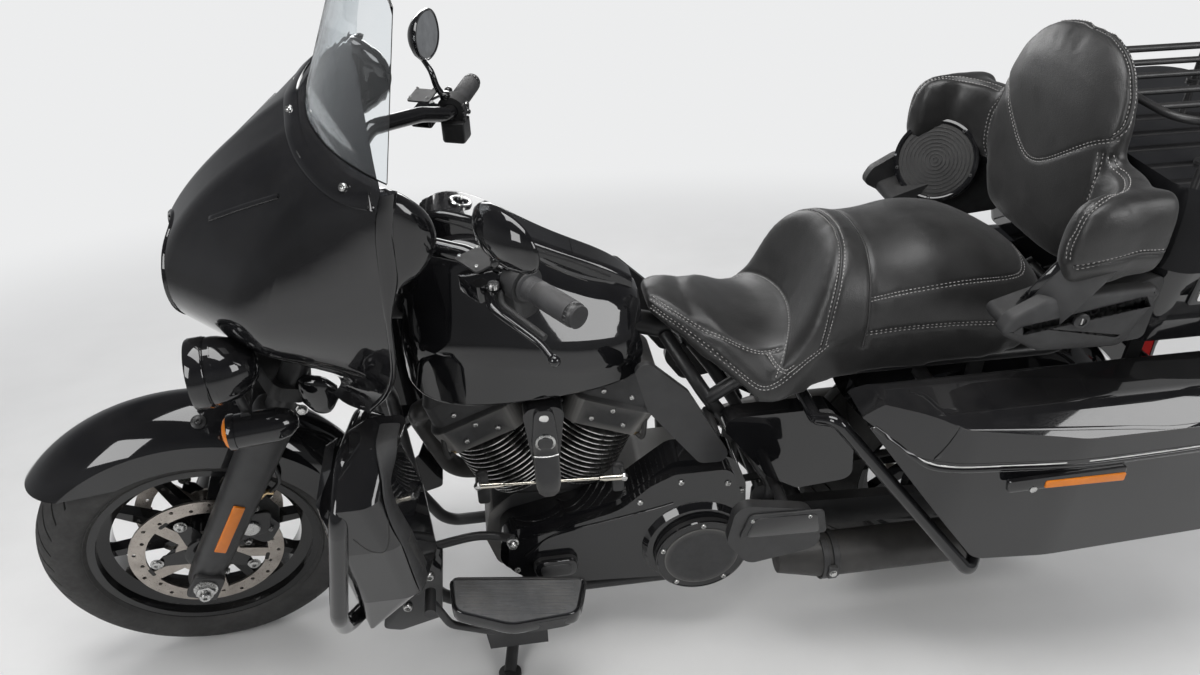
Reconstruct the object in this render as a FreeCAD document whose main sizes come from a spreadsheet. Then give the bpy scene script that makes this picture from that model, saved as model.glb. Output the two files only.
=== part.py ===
import FreeCAD, Part
import math
import os

from FreeCAD import Placement, Rotation, Vector

# Touring cruiser motorcycle, leaning on its side stand with the bars turned a little to the left.
# Every piece is drawn in the upright machine's own frame: X forward from the rear axle, Y to the
# rider's left, Z up from the ground. Its placement then leans it, and steers what turns with the fork.

doc = FreeCAD.newDocument("touring_motorcycle")
sheet = doc.addObject("Spreadsheet::Sheet", "Sizes")

# Driving sizes in millimetres and degrees: name, value.
SIZES = (
    # Running gear
    ("wheelbase", 1625), ("axle_height", 320), ("rake_angle", 26), ("trail", 170),
    ("lean_angle", 12), ("steer_angle", 9), ("origin_forward", 670), ("origin_left", 195),
    ("front_tyre_radius", 320), ("front_crown_radius", 65), ("rear_tyre_radius", 320),
    ("rear_crown_radius", 90), ("tyre_wall", 12), ("rim_wall", 6),
    ("front_bead_radius", 218), ("rear_bead_radius", 203), ("front_rim_half", 45), ("rear_rim_half", 64),
    ("front_hub_radius", 38), ("front_hub_half", 58), ("rear_hub_radius", 48), ("rear_hub_half", 82),
    ("spoke_count", 10), ("spoke_width", 20), ("spoke_depth", 26),
    ("axle_radius", 12.5), ("running_gap", 0.4), ("seat_gap", 0.3),
    ("rotor_radius", 150), ("rotor_inner_radius", 118), ("rotor_thickness", 5),
    ("rotor_hole_radius", 4), ("rotor_hole_count", 24),
    ("pulley_radius", 112), ("pulley_width", 26), ("belt_thickness", 5),
    ("front_pulley_radius", 46), ("front_pulley_forward", 560), ("front_pulley_height", 335),
    # Fork and steering
    ("fork_angle", 29.25), ("fork_half", 115), ("slider_radius", 29), ("slider_length", 430),
    ("fork_tube_radius", 24.5), ("fork_length", 732), ("stem_radius", 14), ("head_tube_radius", 32),
    ("head_low", 800), ("head_high", 925), ("clamp_thickness", 30), ("front_axle_overhang", 16),
    # Frame
    ("backbone_radius", 24), ("rail_radius", 14), ("cradle_radius", 14), ("cradle_half", 120),
    ("cradle_height", 150), ("seat_rail_half", 122), ("seat_rail_height", 686),
    ("swingarm_pivot_forward", 440), ("swingarm_pivot_height", 335), ("swingarm_inner", 136),
    ("swingarm_wall", 26), ("shock_radius", 19),
    # Engine
    ("crank_forward", 900), ("crank_height", 290), ("vee_half_angle", 22.5), ("cylinder_foot", 128),
    ("cylinder_top", 300), ("cylinder_radius", 62), ("fin_radius", 94), ("fin_count", 13),
    ("fin_thickness", 3), ("rocker_top", 446), ("case_half", 68), ("primary_inner", 68.3),
    ("primary_face", 158), ("derby_radius", 98), ("derby_forward", 591), ("derby_height", 270),
    ("derby_face", 186),
    # Body work
    ("tank_half", 166), ("tank_tunnel_half", 84), ("panel_gap", 1.5), ("seam_gap", 0.8), ("sheet_wall", 2.5),
    ("front_fender_radius", 364), ("front_fender_skirt", 264),
    ("rear_fender_radius", 375), ("rear_fender_half", 112), ("rear_fender_skirt", 262),
    ("rear_fender_forward", -50), ("rear_fender_height", 330),
    ("bag_wall", 4), ("bag_inner", 204), ("case_wall", 4.5), ("case_half_width", 325),
    ("case_front", -128), ("case_rear", -606), ("case_floor", 792), ("case_seam", 968),
    ("case_top", 1102), ("rack_height", 1176), ("rack_rod_radius", 7),
    ("screen_wall", 4.5), ("screen_top", 1478), ("fairing_wall", 4),
    ("muffler_radius", 46), ("muffler_half", 236), ("header_radius", 23),
    ("guard_radius", 16), ("bag_guard_radius", 13), ("bar_radius", 15.5), ("grip_radius", 18),
    ("lamp_radius", 57), ("headlamp_radius", 82), ("stand_leg_radius", 13), ("stand_foot_radius", 24),
    ("stand_foot_thickness", 8), ("board_thickness", 24), ("speaker_radius", 86),
)
for row, (alias, value) in enumerate(SIZES, 1):
    sheet.set("A%d" % row, alias)
    sheet.set("B%d" % row, str(value))
    sheet.setAlias("B%d" % row, alias)
doc.recompute()


def size(alias):
    return float(sheet.get(alias))


# Helpers: vectors, outlines, tubes, lofts

FORWARD = Vector(1, 0, 0)
LEFT = Vector(0, 1, 0)
UP = Vector(0, 0, 1)


def corner(before, point, after, radius):
    """Ends and middle of the arc that rounds one corner, or the bare point."""
    if radius <= 0:
        return point, None, point
    ahead = (after - point).normalize()
    behind = (before - point).normalize()
    half = ahead.getAngle(behind) / 2
    if half > math.radians(89.5):
        return point, None, point
    reach = min(radius / math.tan(half), 0.49 * point.distanceToPoint(before),
                0.49 * point.distanceToPoint(after))
    true_radius = reach * math.tan(half)
    middle = (ahead + behind).normalize()
    depth = true_radius / math.sin(half) - true_radius
    return point + behind * reach, point + middle * depth, point + ahead * reach


def path_edges(points, radii, closed):
    """Straight runs joined by tangent arcs."""
    count = len(points)
    corners = []
    for i, point in enumerate(points):
        if not closed and i in (0, count - 1):
            corners.append((point, None, point))
        else:
            corners.append(corner(points[i - 1], point, points[(i + 1) % count], radii[i]))
    edges = []
    for i in range(count):
        start, middle, end = corners[i]
        if middle is not None:
            edges.append(Part.Arc(start, middle, end).toShape())
        if i < count - 1 or closed:
            following = corners[(i + 1) % count][0]
            if end.distanceToPoint(following) > 1e-6:
                edges.append(Part.LineSegment(end, following).toShape())
    return edges


def outline(points, radius=0, at=None):
    """Closed wire of lines and arcs. A point is (a, b) or (a, b, its own radius)."""
    place = at or (lambda a, b: Vector(a, b, 0))
    corners = [place(p[0], p[1]) for p in points]
    radii = [p[2] if len(p) > 2 else radius for p in points]
    return Part.Wire(path_edges(corners, radii, True))


def side_at(y):
    return lambda x, z: Vector(x, y, z)


def plan_at(z):
    return lambda x, y: Vector(x, y, z)


def cross_at(x):
    return lambda y, z: Vector(x, y, z)


def slab(points, radius, low, high):
    """A side-view outline, extruded from one Y to another."""
    return Part.Face(outline(points, radius, side_at(low))).extrude(LEFT * (high - low))


def plan_slab(points, radius, low, high):
    """A plan outline, extruded from one Z to another."""
    return Part.Face(outline(points, radius, plan_at(low))).extrude(UP * (high - low))


def rod(start, end, radius):
    run = end - start
    return Part.makeCylinder(radius, run.Length, start, run)


def tube(points, radius, bend):
    """Round bar along straight runs joined by tangent arcs."""
    nodes = [Vector(*p) for p in points]
    wire = Part.Wire(path_edges(nodes, [bend] * len(nodes), False))
    start_direction = nodes[1] - nodes[0]
    ring = Part.Wire(Part.makeCircle(radius, nodes[0], start_direction))
    return wire.makePipeShell([ring], True, True)


def loft(wires, ruled=False):
    return Part.makeLoft(wires, True, ruled)


def mirrored(shape):
    return shape.mirror(Vector(0, 0, 0), LEFT)


def both_sides(shape):
    return [shape, mirrored(shape)]


def fused(shapes):
    first = shapes[0]
    return first.multiFuse(shapes[1:]).removeSplitter() if len(shapes) > 1 else first


def cut(shape, *tools):
    for tool in tools:
        shape = shape.cut(tool)
    return shape


# Places worked out from the sizes

RAKE = math.radians(size("rake_angle"))
STEER_AXIS = Vector(-math.sin(RAKE), 0, math.cos(RAKE))
STEER_FOOT = Vector(size("wheelbase") + size("trail"), 0, 0)
REAR_AXLE = Vector(0, 0, size("axle_height"))
FRONT_AXLE = Vector(size("wheelbase"), 0, size("axle_height"))


def on_steering_axis(height):
    return Vector(STEER_FOOT.x - height * math.tan(RAKE), 0, height)


def wheel_low(axle, normal, tyre_radius, crown_radius):
    """Lowest point of a tyre whose crown is a ring of round section."""
    ring = (tyre_radius - crown_radius) * math.sqrt(1 - normal.z ** 2)
    return axle.z - ring - crown_radius


def chassis_place():
    """Leans the machine, then pitches and lifts it until both tyres touch the floor."""
    pitch = 0.0
    lift = 0.0
    steered = Placement(Vector(0, 0, 0), Rotation(STEER_AXIS, size("steer_angle")), STEER_FOOT)
    for _ in range(6):
        turn = Rotation(LEFT, math.degrees(pitch)).multiply(Rotation(FORWARD, -size("lean_angle")))
        place = Placement(Vector(0, 0, lift), turn)
        rear = wheel_low(place.multVec(REAR_AXLE), turn.multVec(LEFT),
                         size("rear_tyre_radius"), size("rear_crown_radius"))
        fork = place.multiply(steered)
        front = wheel_low(fork.multVec(FRONT_AXLE), fork.Rotation.multVec(LEFT),
                          size("front_tyre_radius"), size("front_crown_radius"))
        lift -= rear
        pitch += (front - rear) / size("wheelbase")
    origin = Vector(-size("origin_forward"), -size("origin_left"), 0)
    return Placement(origin, Rotation()).multiply(place)


CHASSIS = chassis_place()
STEERED = CHASSIS.multiply(Placement(Vector(0, 0, 0), Rotation(STEER_AXIS, size("steer_angle")), STEER_FOOT))


def at_point(place, point):
    return place.multiply(Placement(point, Rotation()))


def floor_height(x, y):
    """Height of the floor in the machine's own frame, below a point of it."""
    start = CHASSIS.multVec(Vector(x, y, 0))
    step = CHASSIS.Rotation.multVec(UP)
    return -start.z / step.z


pieces = []


def keep(obj, label, place):
    obj.Label = label
    obj.Placement = place
    pieces.append(obj)
    return obj


def feature(label, shapes, place):
    """A piece whose shape is set in code from the sheet's sizes."""
    obj = doc.addObject("Part::Feature", label)
    obj.Shape = Part.makeCompound(shapes if isinstance(shapes, list) else [shapes])
    return keep(obj, label, place)


# Bodies with sketches


def origin_feature(body, role):
    return next(item for item in body.Origin.OriginFeatures if item.Role == role)


def new_sketch(body, name, role, depth=0.0):
    sketch = body.newObject("Sketcher::SketchObject", name)
    sketch.AttachmentSupport = (origin_feature(body, role), [""])
    sketch.MapMode = "FlatFace"
    sketch.AttachmentOffset = Placement(Vector(0, 0, depth), Rotation())
    return sketch


def draw(sketch, points, radius=0):
    """Closed outline of lines and arcs in a sketch."""
    corners = [Vector(p[0], p[1], 0) for p in points]
    radii = [p[2] if len(p) > 2 else radius for p in points]
    for edge in path_edges(corners, radii, True):
        curve = edge.Curve
        ends = edge.ParameterRange
        if isinstance(curve, Part.Circle):
            sketch.addGeometry(Part.ArcOfCircle(curve, ends[0], ends[1]), False)
        else:
            sketch.addGeometry(Part.LineSegment(edge.valueAt(ends[0]), edge.valueAt(ends[1])), False)


def pad(body, sketch, name, length_alias, midplane=False, reverse=False):
    feature_obj = body.newObject("PartDesign::Pad", name)
    feature_obj.Profile = sketch
    feature_obj.setExpression("Length", "Sizes." + length_alias)
    feature_obj.Midplane = midplane
    feature_obj.Reversed = reverse
    return feature_obj


def revolve(body, sketch, name, angle=360.0):
    feature_obj = body.newObject("PartDesign::Revolution", name)
    feature_obj.Profile = sketch
    feature_obj.ReferenceAxis = (sketch, ["V_Axis"])
    feature_obj.Angle = angle
    return feature_obj


def around_axle(body, originals, name, count_alias):
    pattern = body.newObject("PartDesign::PolarPattern", name)
    pattern.Originals = originals
    pattern.Axis = (origin_feature(body, "Y_Axis"), [""])
    pattern.Angle = 360.0
    pattern.setExpression("Occurrences", "Sizes." + count_alias)
    body.Tip = pattern
    return pattern


# Wheels, tyres, brake rotors

RIM_FLANGE = 14


def tyre(label, prefix, place):
    """Hollow tyre: crown arc, sidewalls that bulge past the rim's flanges, and two beads."""
    crown = size(prefix + "_crown_radius")
    centre = size(prefix + "_tyre_radius") - crown
    bead = size(prefix + "_bead_radius")
    half = size(prefix + "_rim_half")
    wall = size("tyre_wall")
    flange_top = bead + RIM_FLANGE + 3

    def half_section(radius, seat, shift):
        bulge = flange_top + 10 + shift
        width = math.sqrt(radius ** 2 - (bulge - centre) ** 2)
        return [Vector(bead, seat, 0), Vector(flange_top + shift, seat, 0), Vector(bulge, width, 0)]

    outer = half_section(crown, half, 0)
    inner = half_section(crown - wall, half - wall, wall / 2)
    body = doc.addObject("PartDesign::Body", label)
    sketch = new_sketch(body, label + "_section", "XY_Plane")
    for side, top in ((outer, centre + crown), (inner, centre + crown - wall)):
        low = [Vector(p.x, -p.y, 0) for p in side]
        for chain in (side, low):
            sketch.addGeometry(Part.LineSegment(chain[0], chain[1]), False)
            sketch.addGeometry(Part.LineSegment(chain[1], chain[2]), False)
        sketch.addGeometry(Part.Arc(side[2], Vector(top, 0, 0), low[2]), False)
    for sign in (1, -1):
        ends = [Vector(p.x, sign * p.y, 0) for p in (outer[0], inner[0])]
        sketch.addGeometry(Part.LineSegment(ends[0], ends[1]), False)
    revolve(body, sketch, label + "_ring")
    return keep(body, label, place)


def wheel(label, prefix, place):
    """Cast wheel: drop-centre rim, hub with axle bore, and a ring of spokes."""
    bead = size(prefix + "_bead_radius") - size("seat_gap")
    half = size(prefix + "_rim_half")
    wall = size("rim_wall")
    hub = size(prefix + "_hub_radius")
    hub_half = size(prefix + "_hub_half")
    flange = half + wall + 1
    well = bead - 22
    body = doc.addObject("PartDesign::Body", label)
    rim = new_sketch(body, label + "_rim_section", "XY_Plane")
    lip = bead + RIM_FLANGE
    seat = flange - wall
    draw(rim, [(lip, -flange), (lip, -seat), (bead, -seat), (bead, -half + 20),
               (well, -half + 30), (well, half - 30), (bead, half - 20), (bead, seat),
               (lip, seat), (lip, flange), (bead - 8, flange),
               (bead - 8, half - 14), (well - 9, half - 24), (well - 9, -half + 24),
               (bead - 8, -half + 14), (bead - 8, -flange)])
    revolve(body, rim, label + "_rim")
    bore = size("axle_radius") + size("running_gap")
    barrel = new_sketch(body, label + "_hub_section", "XY_Plane")
    draw(barrel, [(bore, -hub_half), (hub, -hub_half), (hub, hub_half), (bore, hub_half)])
    revolve(body, barrel, label + "_hub")
    spoke = new_sketch(body, label + "_spoke_outline", "XZ_Plane")
    width = size("spoke_width")
    draw(spoke, [(hub - 6, -0.75 * width), (well - 5, -0.4 * width), (well - 5, 0.4 * width),
                 (hub - 6, 0.75 * width)])
    arm = pad(body, spoke, label + "_spoke", "spoke_depth", midplane=True)
    around_axle(body, [arm], label + "_spokes", "spoke_count")
    return keep(body, label, place)


def rotor_shape(offset):
    """Drilled disc on a five-armed carrier, its inner face at the hub."""
    outer = size("rotor_radius")
    inner = size("rotor_inner_radius")
    thick = size("rotor_thickness")
    low = offset - thick / 2
    disc = Part.makeCylinder(outer, thick, Vector(0, low, 0), LEFT)
    disc = disc.cut(Part.makeCylinder(inner, thick, Vector(0, low, 0), LEFT))
    count = int(size("rotor_hole_count"))
    holes = []
    for i in range(count):
        spin = 2 * math.pi * i / count
        reach = outer - (11 if i % 2 else 22)
        spot = Vector(reach * math.cos(spin), low - 1, reach * math.sin(spin))
        holes.append(Part.makeCylinder(size("rotor_hole_radius"), thick + 2, spot, LEFT))
    disc = disc.cut(Part.makeCompound(holes))
    hub_radius = 62
    arms = [Part.makeCylinder(hub_radius, thick, Vector(0, low, 0), LEFT)]
    for i in range(5):
        arm = Part.makeBox(inner - 30 + 8, thick, 26, Vector(30, low, -13))
        arm.rotate(Vector(0, 0, 0), LEFT, 72 * i + 18)
        arms.append(arm)
    carrier = fused([disc] + arms)
    bore = size("axle_radius") + 8
    return carrier.cut(Part.makeCylinder(bore, thick, Vector(0, low, 0), LEFT))


def make_wheels():
    front = at_point(STEERED, FRONT_AXLE)
    rear = at_point(CHASSIS, REAR_AXLE)
    tyre("front_tyre", "front", front)
    tyre("rear_tyre", "rear", rear)
    wheel("front_wheel", "front", front)
    wheel("rear_wheel", "rear", rear)
    offset = size("front_hub_half") + size("seat_gap") + size("rotor_thickness") / 2
    feature("front_rotors", [rotor_shape(offset), rotor_shape(-offset)], front)
    rear_offset = -(size("rear_hub_half") + size("seat_gap") + size("rotor_thickness") / 2)
    feature("rear_rotor", rotor_shape(rear_offset), rear)
    low = size("rear_hub_half") + size("seat_gap")
    width = size("pulley_width")
    pulley = Part.makeCylinder(size("pulley_radius"), width, Vector(0, low, 0), LEFT)
    recess = Part.makeCylinder(size("pulley_radius") - 14, width - 10, Vector(0, low + 10, 0), LEFT)
    boss = Part.makeCylinder(46, width - 4, Vector(0, low, 0), LEFT)
    bore = Part.makeCylinder(size("axle_radius") + 8, width, Vector(0, low, 0), LEFT)
    windows = []
    for i in range(5):
        spin = 2 * math.pi * i / 5
        spot = Vector(72 * math.cos(spin), low - 1, 72 * math.sin(spin))
        windows.append(Part.makeCylinder(15, width, spot, LEFT))
    pulley = cut(fused([pulley.cut(recess), boss]), bore, Part.makeCompound(windows))
    feature("drive_pulley", pulley, rear)


# Frame, swingarm, stand

SUMP_DROP = 108
GEARBOX_DROP = 104


def cradle(side, radius):
    """One side's tube: down from the steering head, under the engine, up behind the gearbox."""
    half = size("cradle_half") * side
    low = size("cradle_height")
    foot = on_steering_axis(size("head_low"))
    pivot = size("swingarm_pivot_forward")
    return tube([(foot.x - 22, 12 * side, foot.z + 18), (1238, 16 * side, 728), (1212, 96 * side, 560),
                 (1196, half, 260), (1140, half, low), (560, half, low), (pivot + 4, half, 196),
                 (pivot - 8, half, 400), (508, half, 533), (586, half, 650), (650, 20 * side, 736)], radius, 60)


def seat_rail(side, radius):
    """Runs back under the seat and rises to carry the top case."""
    rail = size("seat_rail_half") * side
    deck = size("seat_rail_height")
    return tube([(583, (size("cradle_half") + 1) * side, 642), (520, rail, deck), (-120, rail, deck),
                 (-280, rail, rail_rear_height()), (-560, rail, rail_rear_height())], radius, 60)


def rail_rear_height():
    return size("case_floor") - size("seat_gap") - size("rail_radius")


def fender_tool(extra):
    """Solid that fills the rear fender's crown, for what seats on it."""
    centre = Vector(size("rear_fender_forward"), -300, size("rear_fender_height"))
    return Part.makeCylinder(size("rear_fender_radius") + extra, 600, centre, LEFT)


def make_frame():
    half = size("cradle_half")
    low = size("cradle_height")
    gap = size("seat_gap")
    rail = size("seat_rail_half")
    deck = size("seat_rail_height")
    pivot_x = size("swingarm_pivot_forward")
    pivot_z = size("swingarm_pivot_height")
    top = on_steering_axis(size("head_high"))
    foot = on_steering_axis(size("head_low"))
    head = rod(foot, top, size("head_tube_radius"))
    backbone = tube([(foot.x - 32, 0, foot.z + 62), (1110, 0, 836), (760, 0, 776), (640, 0, 738)],
                    size("backbone_radius"), 120)
    solids = [head, backbone]
    for s in (1, -1):
        solids.append(cradle(s, size("cradle_radius")))
        solids.append(seat_rail(s, size("rail_radius")))
    # Cross tubes: forward, height, half length, radius.
    tank_seat = size("tank_tunnel_half") - gap
    for x, z, reach, radius in ((960, low, half, 12), (640, low, half, 12), (500, low + 16, half, 12),
                                (1060, 827, tank_seat, 12), (790, 781, tank_seat, 12), (-200, 732, rail, 11),
                                (40, 706, rail, 10), (-540, rail_rear_height(), rail, 10)):
        solids.append(rod(Vector(x, -reach, z), Vector(x, reach, z), radius))
    for x, drop in ((960, SUMP_DROP), (640, GEARBOX_DROP)):
        solids.append(Part.makeBox(36, 100, size("crank_height") - drop - gap - low, Vector(x - 18, -50, low)))
    # Saddlebag brackets hang from the rails.
    for x, rail_z in ((40, deck), (-300, rail_rear_height())):
        for s in (1, -1):
            ends = sorted((126 * s, 134 * s))
            solids.append(slab([(x - 16, 588), (x + 16, 588), (x + 16, rail_z), (x - 16, rail_z)], 0, *ends))
            solids.append(rod(Vector(x, 130 * s, 600), Vector(x, (size("bag_inner") - gap) * s, 600), 10))
    stud = rod(Vector(-200, 0, 660), Vector(-200, 0, 732), 12)
    for s in (1, -1):
        edge = half * s
        solids.append(slab([(pivot_x - 36, pivot_z - 60), (pivot_x + 32, pivot_z - 60),
                            (pivot_x + 32, pivot_z + 60), (pivot_x - 36, pivot_z + 60)], 16, edge - 6, edge + 6))
    axis = stand_axis()
    lug = Part.makeCylinder(18, 24, STAND_PIVOT - axis * 12.6, axis)
    body = fused(solids + [lug, stud.cut(fender_tool(gap))])
    stem_bore = rod(foot - STEER_AXIS, top + STEER_AXIS, size("stem_radius") + size("running_gap"))
    pivot_bore = rod(Vector(pivot_x, -200, pivot_z), Vector(pivot_x, 200, pivot_z), 9 + gap)
    pin_hole = Part.makeCylinder(8 + size("running_gap"), 20, STAND_PIVOT - axis * 14, axis)
    feature("frame", cut(body, stem_bore, pivot_bore, pin_hole), CHASSIS)


def make_swingarm():
    pivot_x = size("swingarm_pivot_forward")
    pivot_z = size("swingarm_pivot_height")
    axle_z = size("axle_height")
    inner = size("swingarm_inner")
    wall = size("swingarm_wall")
    arms = []
    for s in (1, -1):
        low, high = sorted((inner * s, (inner + wall) * s))
        arm = slab([(-58, axle_z - 28), (40, axle_z - 34), (360, pivot_z - 40), (pivot_x + 24, pivot_z - 26),
                    (pivot_x + 24, pivot_z + 26), (360, pivot_z + 36), (40, axle_z + 34), (-58, axle_z + 26)],
                   18, low, high)
        arms.append(arm)
    brace = rod(Vector(372, -inner - 2, pivot_z), Vector(372, inner + 2, pivot_z), 18)
    axle = rod(Vector(0, -inner - 40, axle_z), Vector(0, inner + 40, axle_z), size("axle_radius"))
    pivot = rod(Vector(pivot_x, -inner - 4, pivot_z), Vector(pivot_x, inner + 4, pivot_z), 9)
    collars = [rod(Vector(0, s * (size("rear_hub_half") + size("pulley_width") + 6), axle_z),
                   Vector(0, s * (inner + 1), axle_z), 19) for s in (1, -1)]
    feature("swingarm", fused(arms + [brace, axle, pivot] + collars), CHASSIS)
    units = []
    reach = inner + wall / 2
    for s in (1, -1):
        low = Vector(95, s * reach, axle_z + 30)
        high = Vector(150, s * (reach - 4), size("seat_rail_height") - 40)
        radius = size("shock_radius")
        run = high - low
        body = rod(low, low + run * 0.45, radius)
        sleeve = rod(low + run * 0.4, high, radius - 5)
        eye_height = size("seat_rail_height") - size("rail_radius") - size("seat_gap") - 15
        eye = rod(Vector(high.x, s * (size("seat_rail_half") - 6), eye_height),
                  Vector(high.x, s * (reach + 12), eye_height), 15)
        arm = arms[0 if s > 0 else 1]
        raised = arm.copy()
        raised.translate(UP * size("seat_gap"))
        units.append(cut(fused([body, sleeve, eye]), arm, raised))
    feature("shock_absorbers", units, CHASSIS)


STAND_PIVOT = Vector(985, 122, 132)
STAND_FOOT = Vector(1016, 262, 0)
STAND_STOWED = Vector(800, 150, 100)


def stand_foot_point():
    """The foot's underside lies on the floor."""
    return Vector(STAND_FOOT.x, STAND_FOOT.y, floor_height(STAND_FOOT.x, STAND_FOOT.y))


def stand_axis():
    """Normal to the leg's two directions, down and folded back."""
    down = stand_foot_point() - STAND_PIVOT
    back = STAND_STOWED - STAND_PIVOT
    return down.cross(back).normalize()


def make_side_stand():
    ground = stand_foot_point()
    floor_normal = CHASSIS.Rotation.inverted().multVec(UP)
    thick = size("stand_foot_thickness")
    foot = Part.makeCylinder(size("stand_foot_radius"), thick, ground, floor_normal)
    axis = stand_axis()
    start = STAND_PIVOT - axis * 32
    ankle = ground + floor_normal * thick * 0.6
    leg = rod(start, ankle, size("stand_leg_radius"))
    eye = Part.makeCylinder(20, 32, STAND_PIVOT - axis * 45, axis)
    pin = Part.makeCylinder(8, 48, STAND_PIVOT - axis * 45, axis)
    shape = fused([foot, leg, eye, pin])
    below = Part.makeBox(600, 600, 200, Vector(-300, -300, -200))
    below.Placement = Placement(ground, Rotation(UP, floor_normal))
    feature("side_stand", shape.cut(below), CHASSIS)


# Engine


def vee_axis(side):
    tilt = math.radians(size("vee_half_angle")) * side
    return Vector(math.sin(tilt), 0, math.cos(tilt))


def vee_side(side):
    """The half of space on one side of the upright plane between the cylinders."""
    gap = 3
    low = size("crank_forward") + (gap if side > 0 else -gap - 400)
    return Part.makeBox(400, 400, 700, Vector(low, -200, 0))


def crank():
    return Vector(size("crank_forward"), 0, size("crank_height"))


def make_engine():
    half = size("case_half")
    cx = size("crank_forward")
    cz = size("crank_height")
    crankcase = slab([(cx - 128, cz - 108), (cx + 118, cz - 108), (cx + 142, cz - 20), (cx + 128, cz + 64),
                      (cx + 74, cz + 106), (cx - 74, cz + 96), (cx - 128, cz + 70)], 30, -half, half)
    seats = []
    for s in (1, -1):
        seat = rod(crank() + vee_axis(s) * 60, crank() + vee_axis(s) * (size("cylinder_foot") - size("seat_gap")), 64)
        seats.append(seat.common(vee_side(s)))
    low = cz - GEARBOX_DROP
    gearbox = slab([(cx - 112, low), (cx - 112, cz + 54), (cx - 130, cz + 64), (cx - 200, cz + 126), (cx - 348, cz + 126),
                    (cx - 372, cz + 60), (cx - 372, low)], 22, -half - 4, half - 2)
    feature("engine_case", fused([crankcase] + seats + [gearbox]), CHASSIS)

    fins = []
    tops = []
    for s in (1, -1):
        axis = vee_axis(s)
        foot = crank() + axis * size("cylinder_foot")
        top = crank() + axis * size("cylinder_top")
        barrel = [rod(foot, top, size("cylinder_radius"))]
        count = int(size("fin_count"))
        pitch = (size("cylinder_top") - size("cylinder_foot") - 8) / count
        for i in range(count):
            base = foot + axis * (6 + pitch * i)
            reach = size("fin_radius") * (0.82 + 0.18 * min(1, i / 4))
            barrel.append(rod(base, base + axis * size("fin_thickness"), reach))
        body = fused(barrel)
        fins.append(body.common(vee_side(s)))
        head_low = top + axis * size("seat_gap")
        across = Vector(axis.z, 0, -axis.x)
        rise = size("rocker_top") - size("cylinder_top")
        sections = []
        for height, reach, width, rounding in ((0, 88, 92, 30), (rise * 0.42, 92, 96, 30), (rise * 0.46, 84, 84, 26),
                                               (rise * 0.8, 80, 80, 26), (rise, 62, 64, 22)):
            centre = head_low + axis * height
            corners = [(reach, width), (-reach, width), (-reach, -width), (reach, -width)]
            wire = outline(corners, rounding, lambda a, b: centre + across * a + LEFT * b)
            sections.append(wire)
        cover = loft(sections[:2], True).fuse(loft(sections[2:], True))
        bridge = loft([sections[1], sections[2]], True)
        cover = fused([cover, bridge])
        tops.append(cover.common(vee_side(s)))
    feature("cylinders", fins, CHASSIS)
    feature("rocker_covers", tops, CHASSIS)

    inner = size("primary_inner")
    face = size("primary_face")
    derby = Vector(size("derby_forward"), 0, size("derby_height"))
    shell = slab([(1016, 262, 50), (1006, 350, 46), (760, 410, 120), (690, 468, 30), (650, 500, 40), (524, 500, 40),
                  (492, 420, 40), (484, 300, 60), (500, 196, 60), (640, 172, 90), (940, 196, 50)], 30, inner, face - 22)
    raised = slab([(1000, 268, 44), (992, 338, 40), (760, 402, 120), (700, 458, 30), (650, 484, 34), (532, 484, 34),
                   (506, 410, 40), (498, 300, 60), (514, 208, 60), (640, 186, 80), (936, 210, 44)], 30,
                  face - 24, face)
    skirt = face - size("cradle_half") - size("cradle_radius") - size("seat_gap")
    boss = Part.makeCone(size("derby_radius") + 36, size("derby_radius") + 9, skirt + 12,
                         Vector(derby.x + 8, face - skirt, derby.z + 14), LEFT)
    belt_room = Part.makeBox(230, 52, 200, Vector(460, inner - 12, 240))
    feature("primary_cover", fused([shell, raised, boss]).cut(belt_room), CHASSIS)
    seat_y = face + 12 + size("seat_gap")
    cap = Part.makeCylinder(size("derby_radius"), size("derby_face") - seat_y, Vector(derby.x, seat_y, derby.z), LEFT)
    top_edges = [edge for edge in cap.Edges if isinstance(edge.Curve, Part.Circle)
                 and edge.Curve.Center.y > seat_y + 1]
    cap = cap.makeFillet(5, top_edges)
    window = slab([(946, 246), (946, 292), (852, 292), (852, 246)], 22, face + size("seat_gap"), face + 12)
    feature("primary_access_covers", [cap, window], CHASSIS)

    gear = slab([(cx + 96, cz - 60), (cx + 104, cz + 40), (cx + 40, cz + 96), (cx - 40, cz + 96),
                 (cx - 104, cz + 40), (cx - 96, cz - 60), (cx, cz - 98)], 34, -half - 46, -half - size("seat_gap"))
    feature("timing_cover", gear, CHASSIS)

    def between_heads(y, z, radius):
        """Cross bar seated against both heads."""
        bar = rod(Vector(cx - 70, y, z), Vector(cx + 70, y, z), radius)
        for s, head in ((1, tops[0]), (-1, tops[1])):
            nearer = head.copy()
            nearer.translate(FORWARD * -s * size("seat_gap"))
            bar = bar.cut(nearer)
        return bar

    horn = slab([(946, 684), (864, 684), (878, 560), (884, 500), (926, 500), (932, 560)], 22, 100, 152)
    stay = rod(Vector(cx, 50, 620), Vector(cx, 101, 620), 9)
    feature("horn_cover", fused([horn, stay, between_heads(50, 620, 9)]), CHASSIS)
    lid = slab([(986, 690), (816, 690), (790, 600), (826, 506), (976, 506), (1010, 600)], 60, -190, -112)
    snout = rod(Vector(cx, -113, 620), Vector(cx, -50, 620), 24)
    feature("air_cleaner", fused([lid, snout, between_heads(-50, 620, 12)]), CHASSIS)


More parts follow.
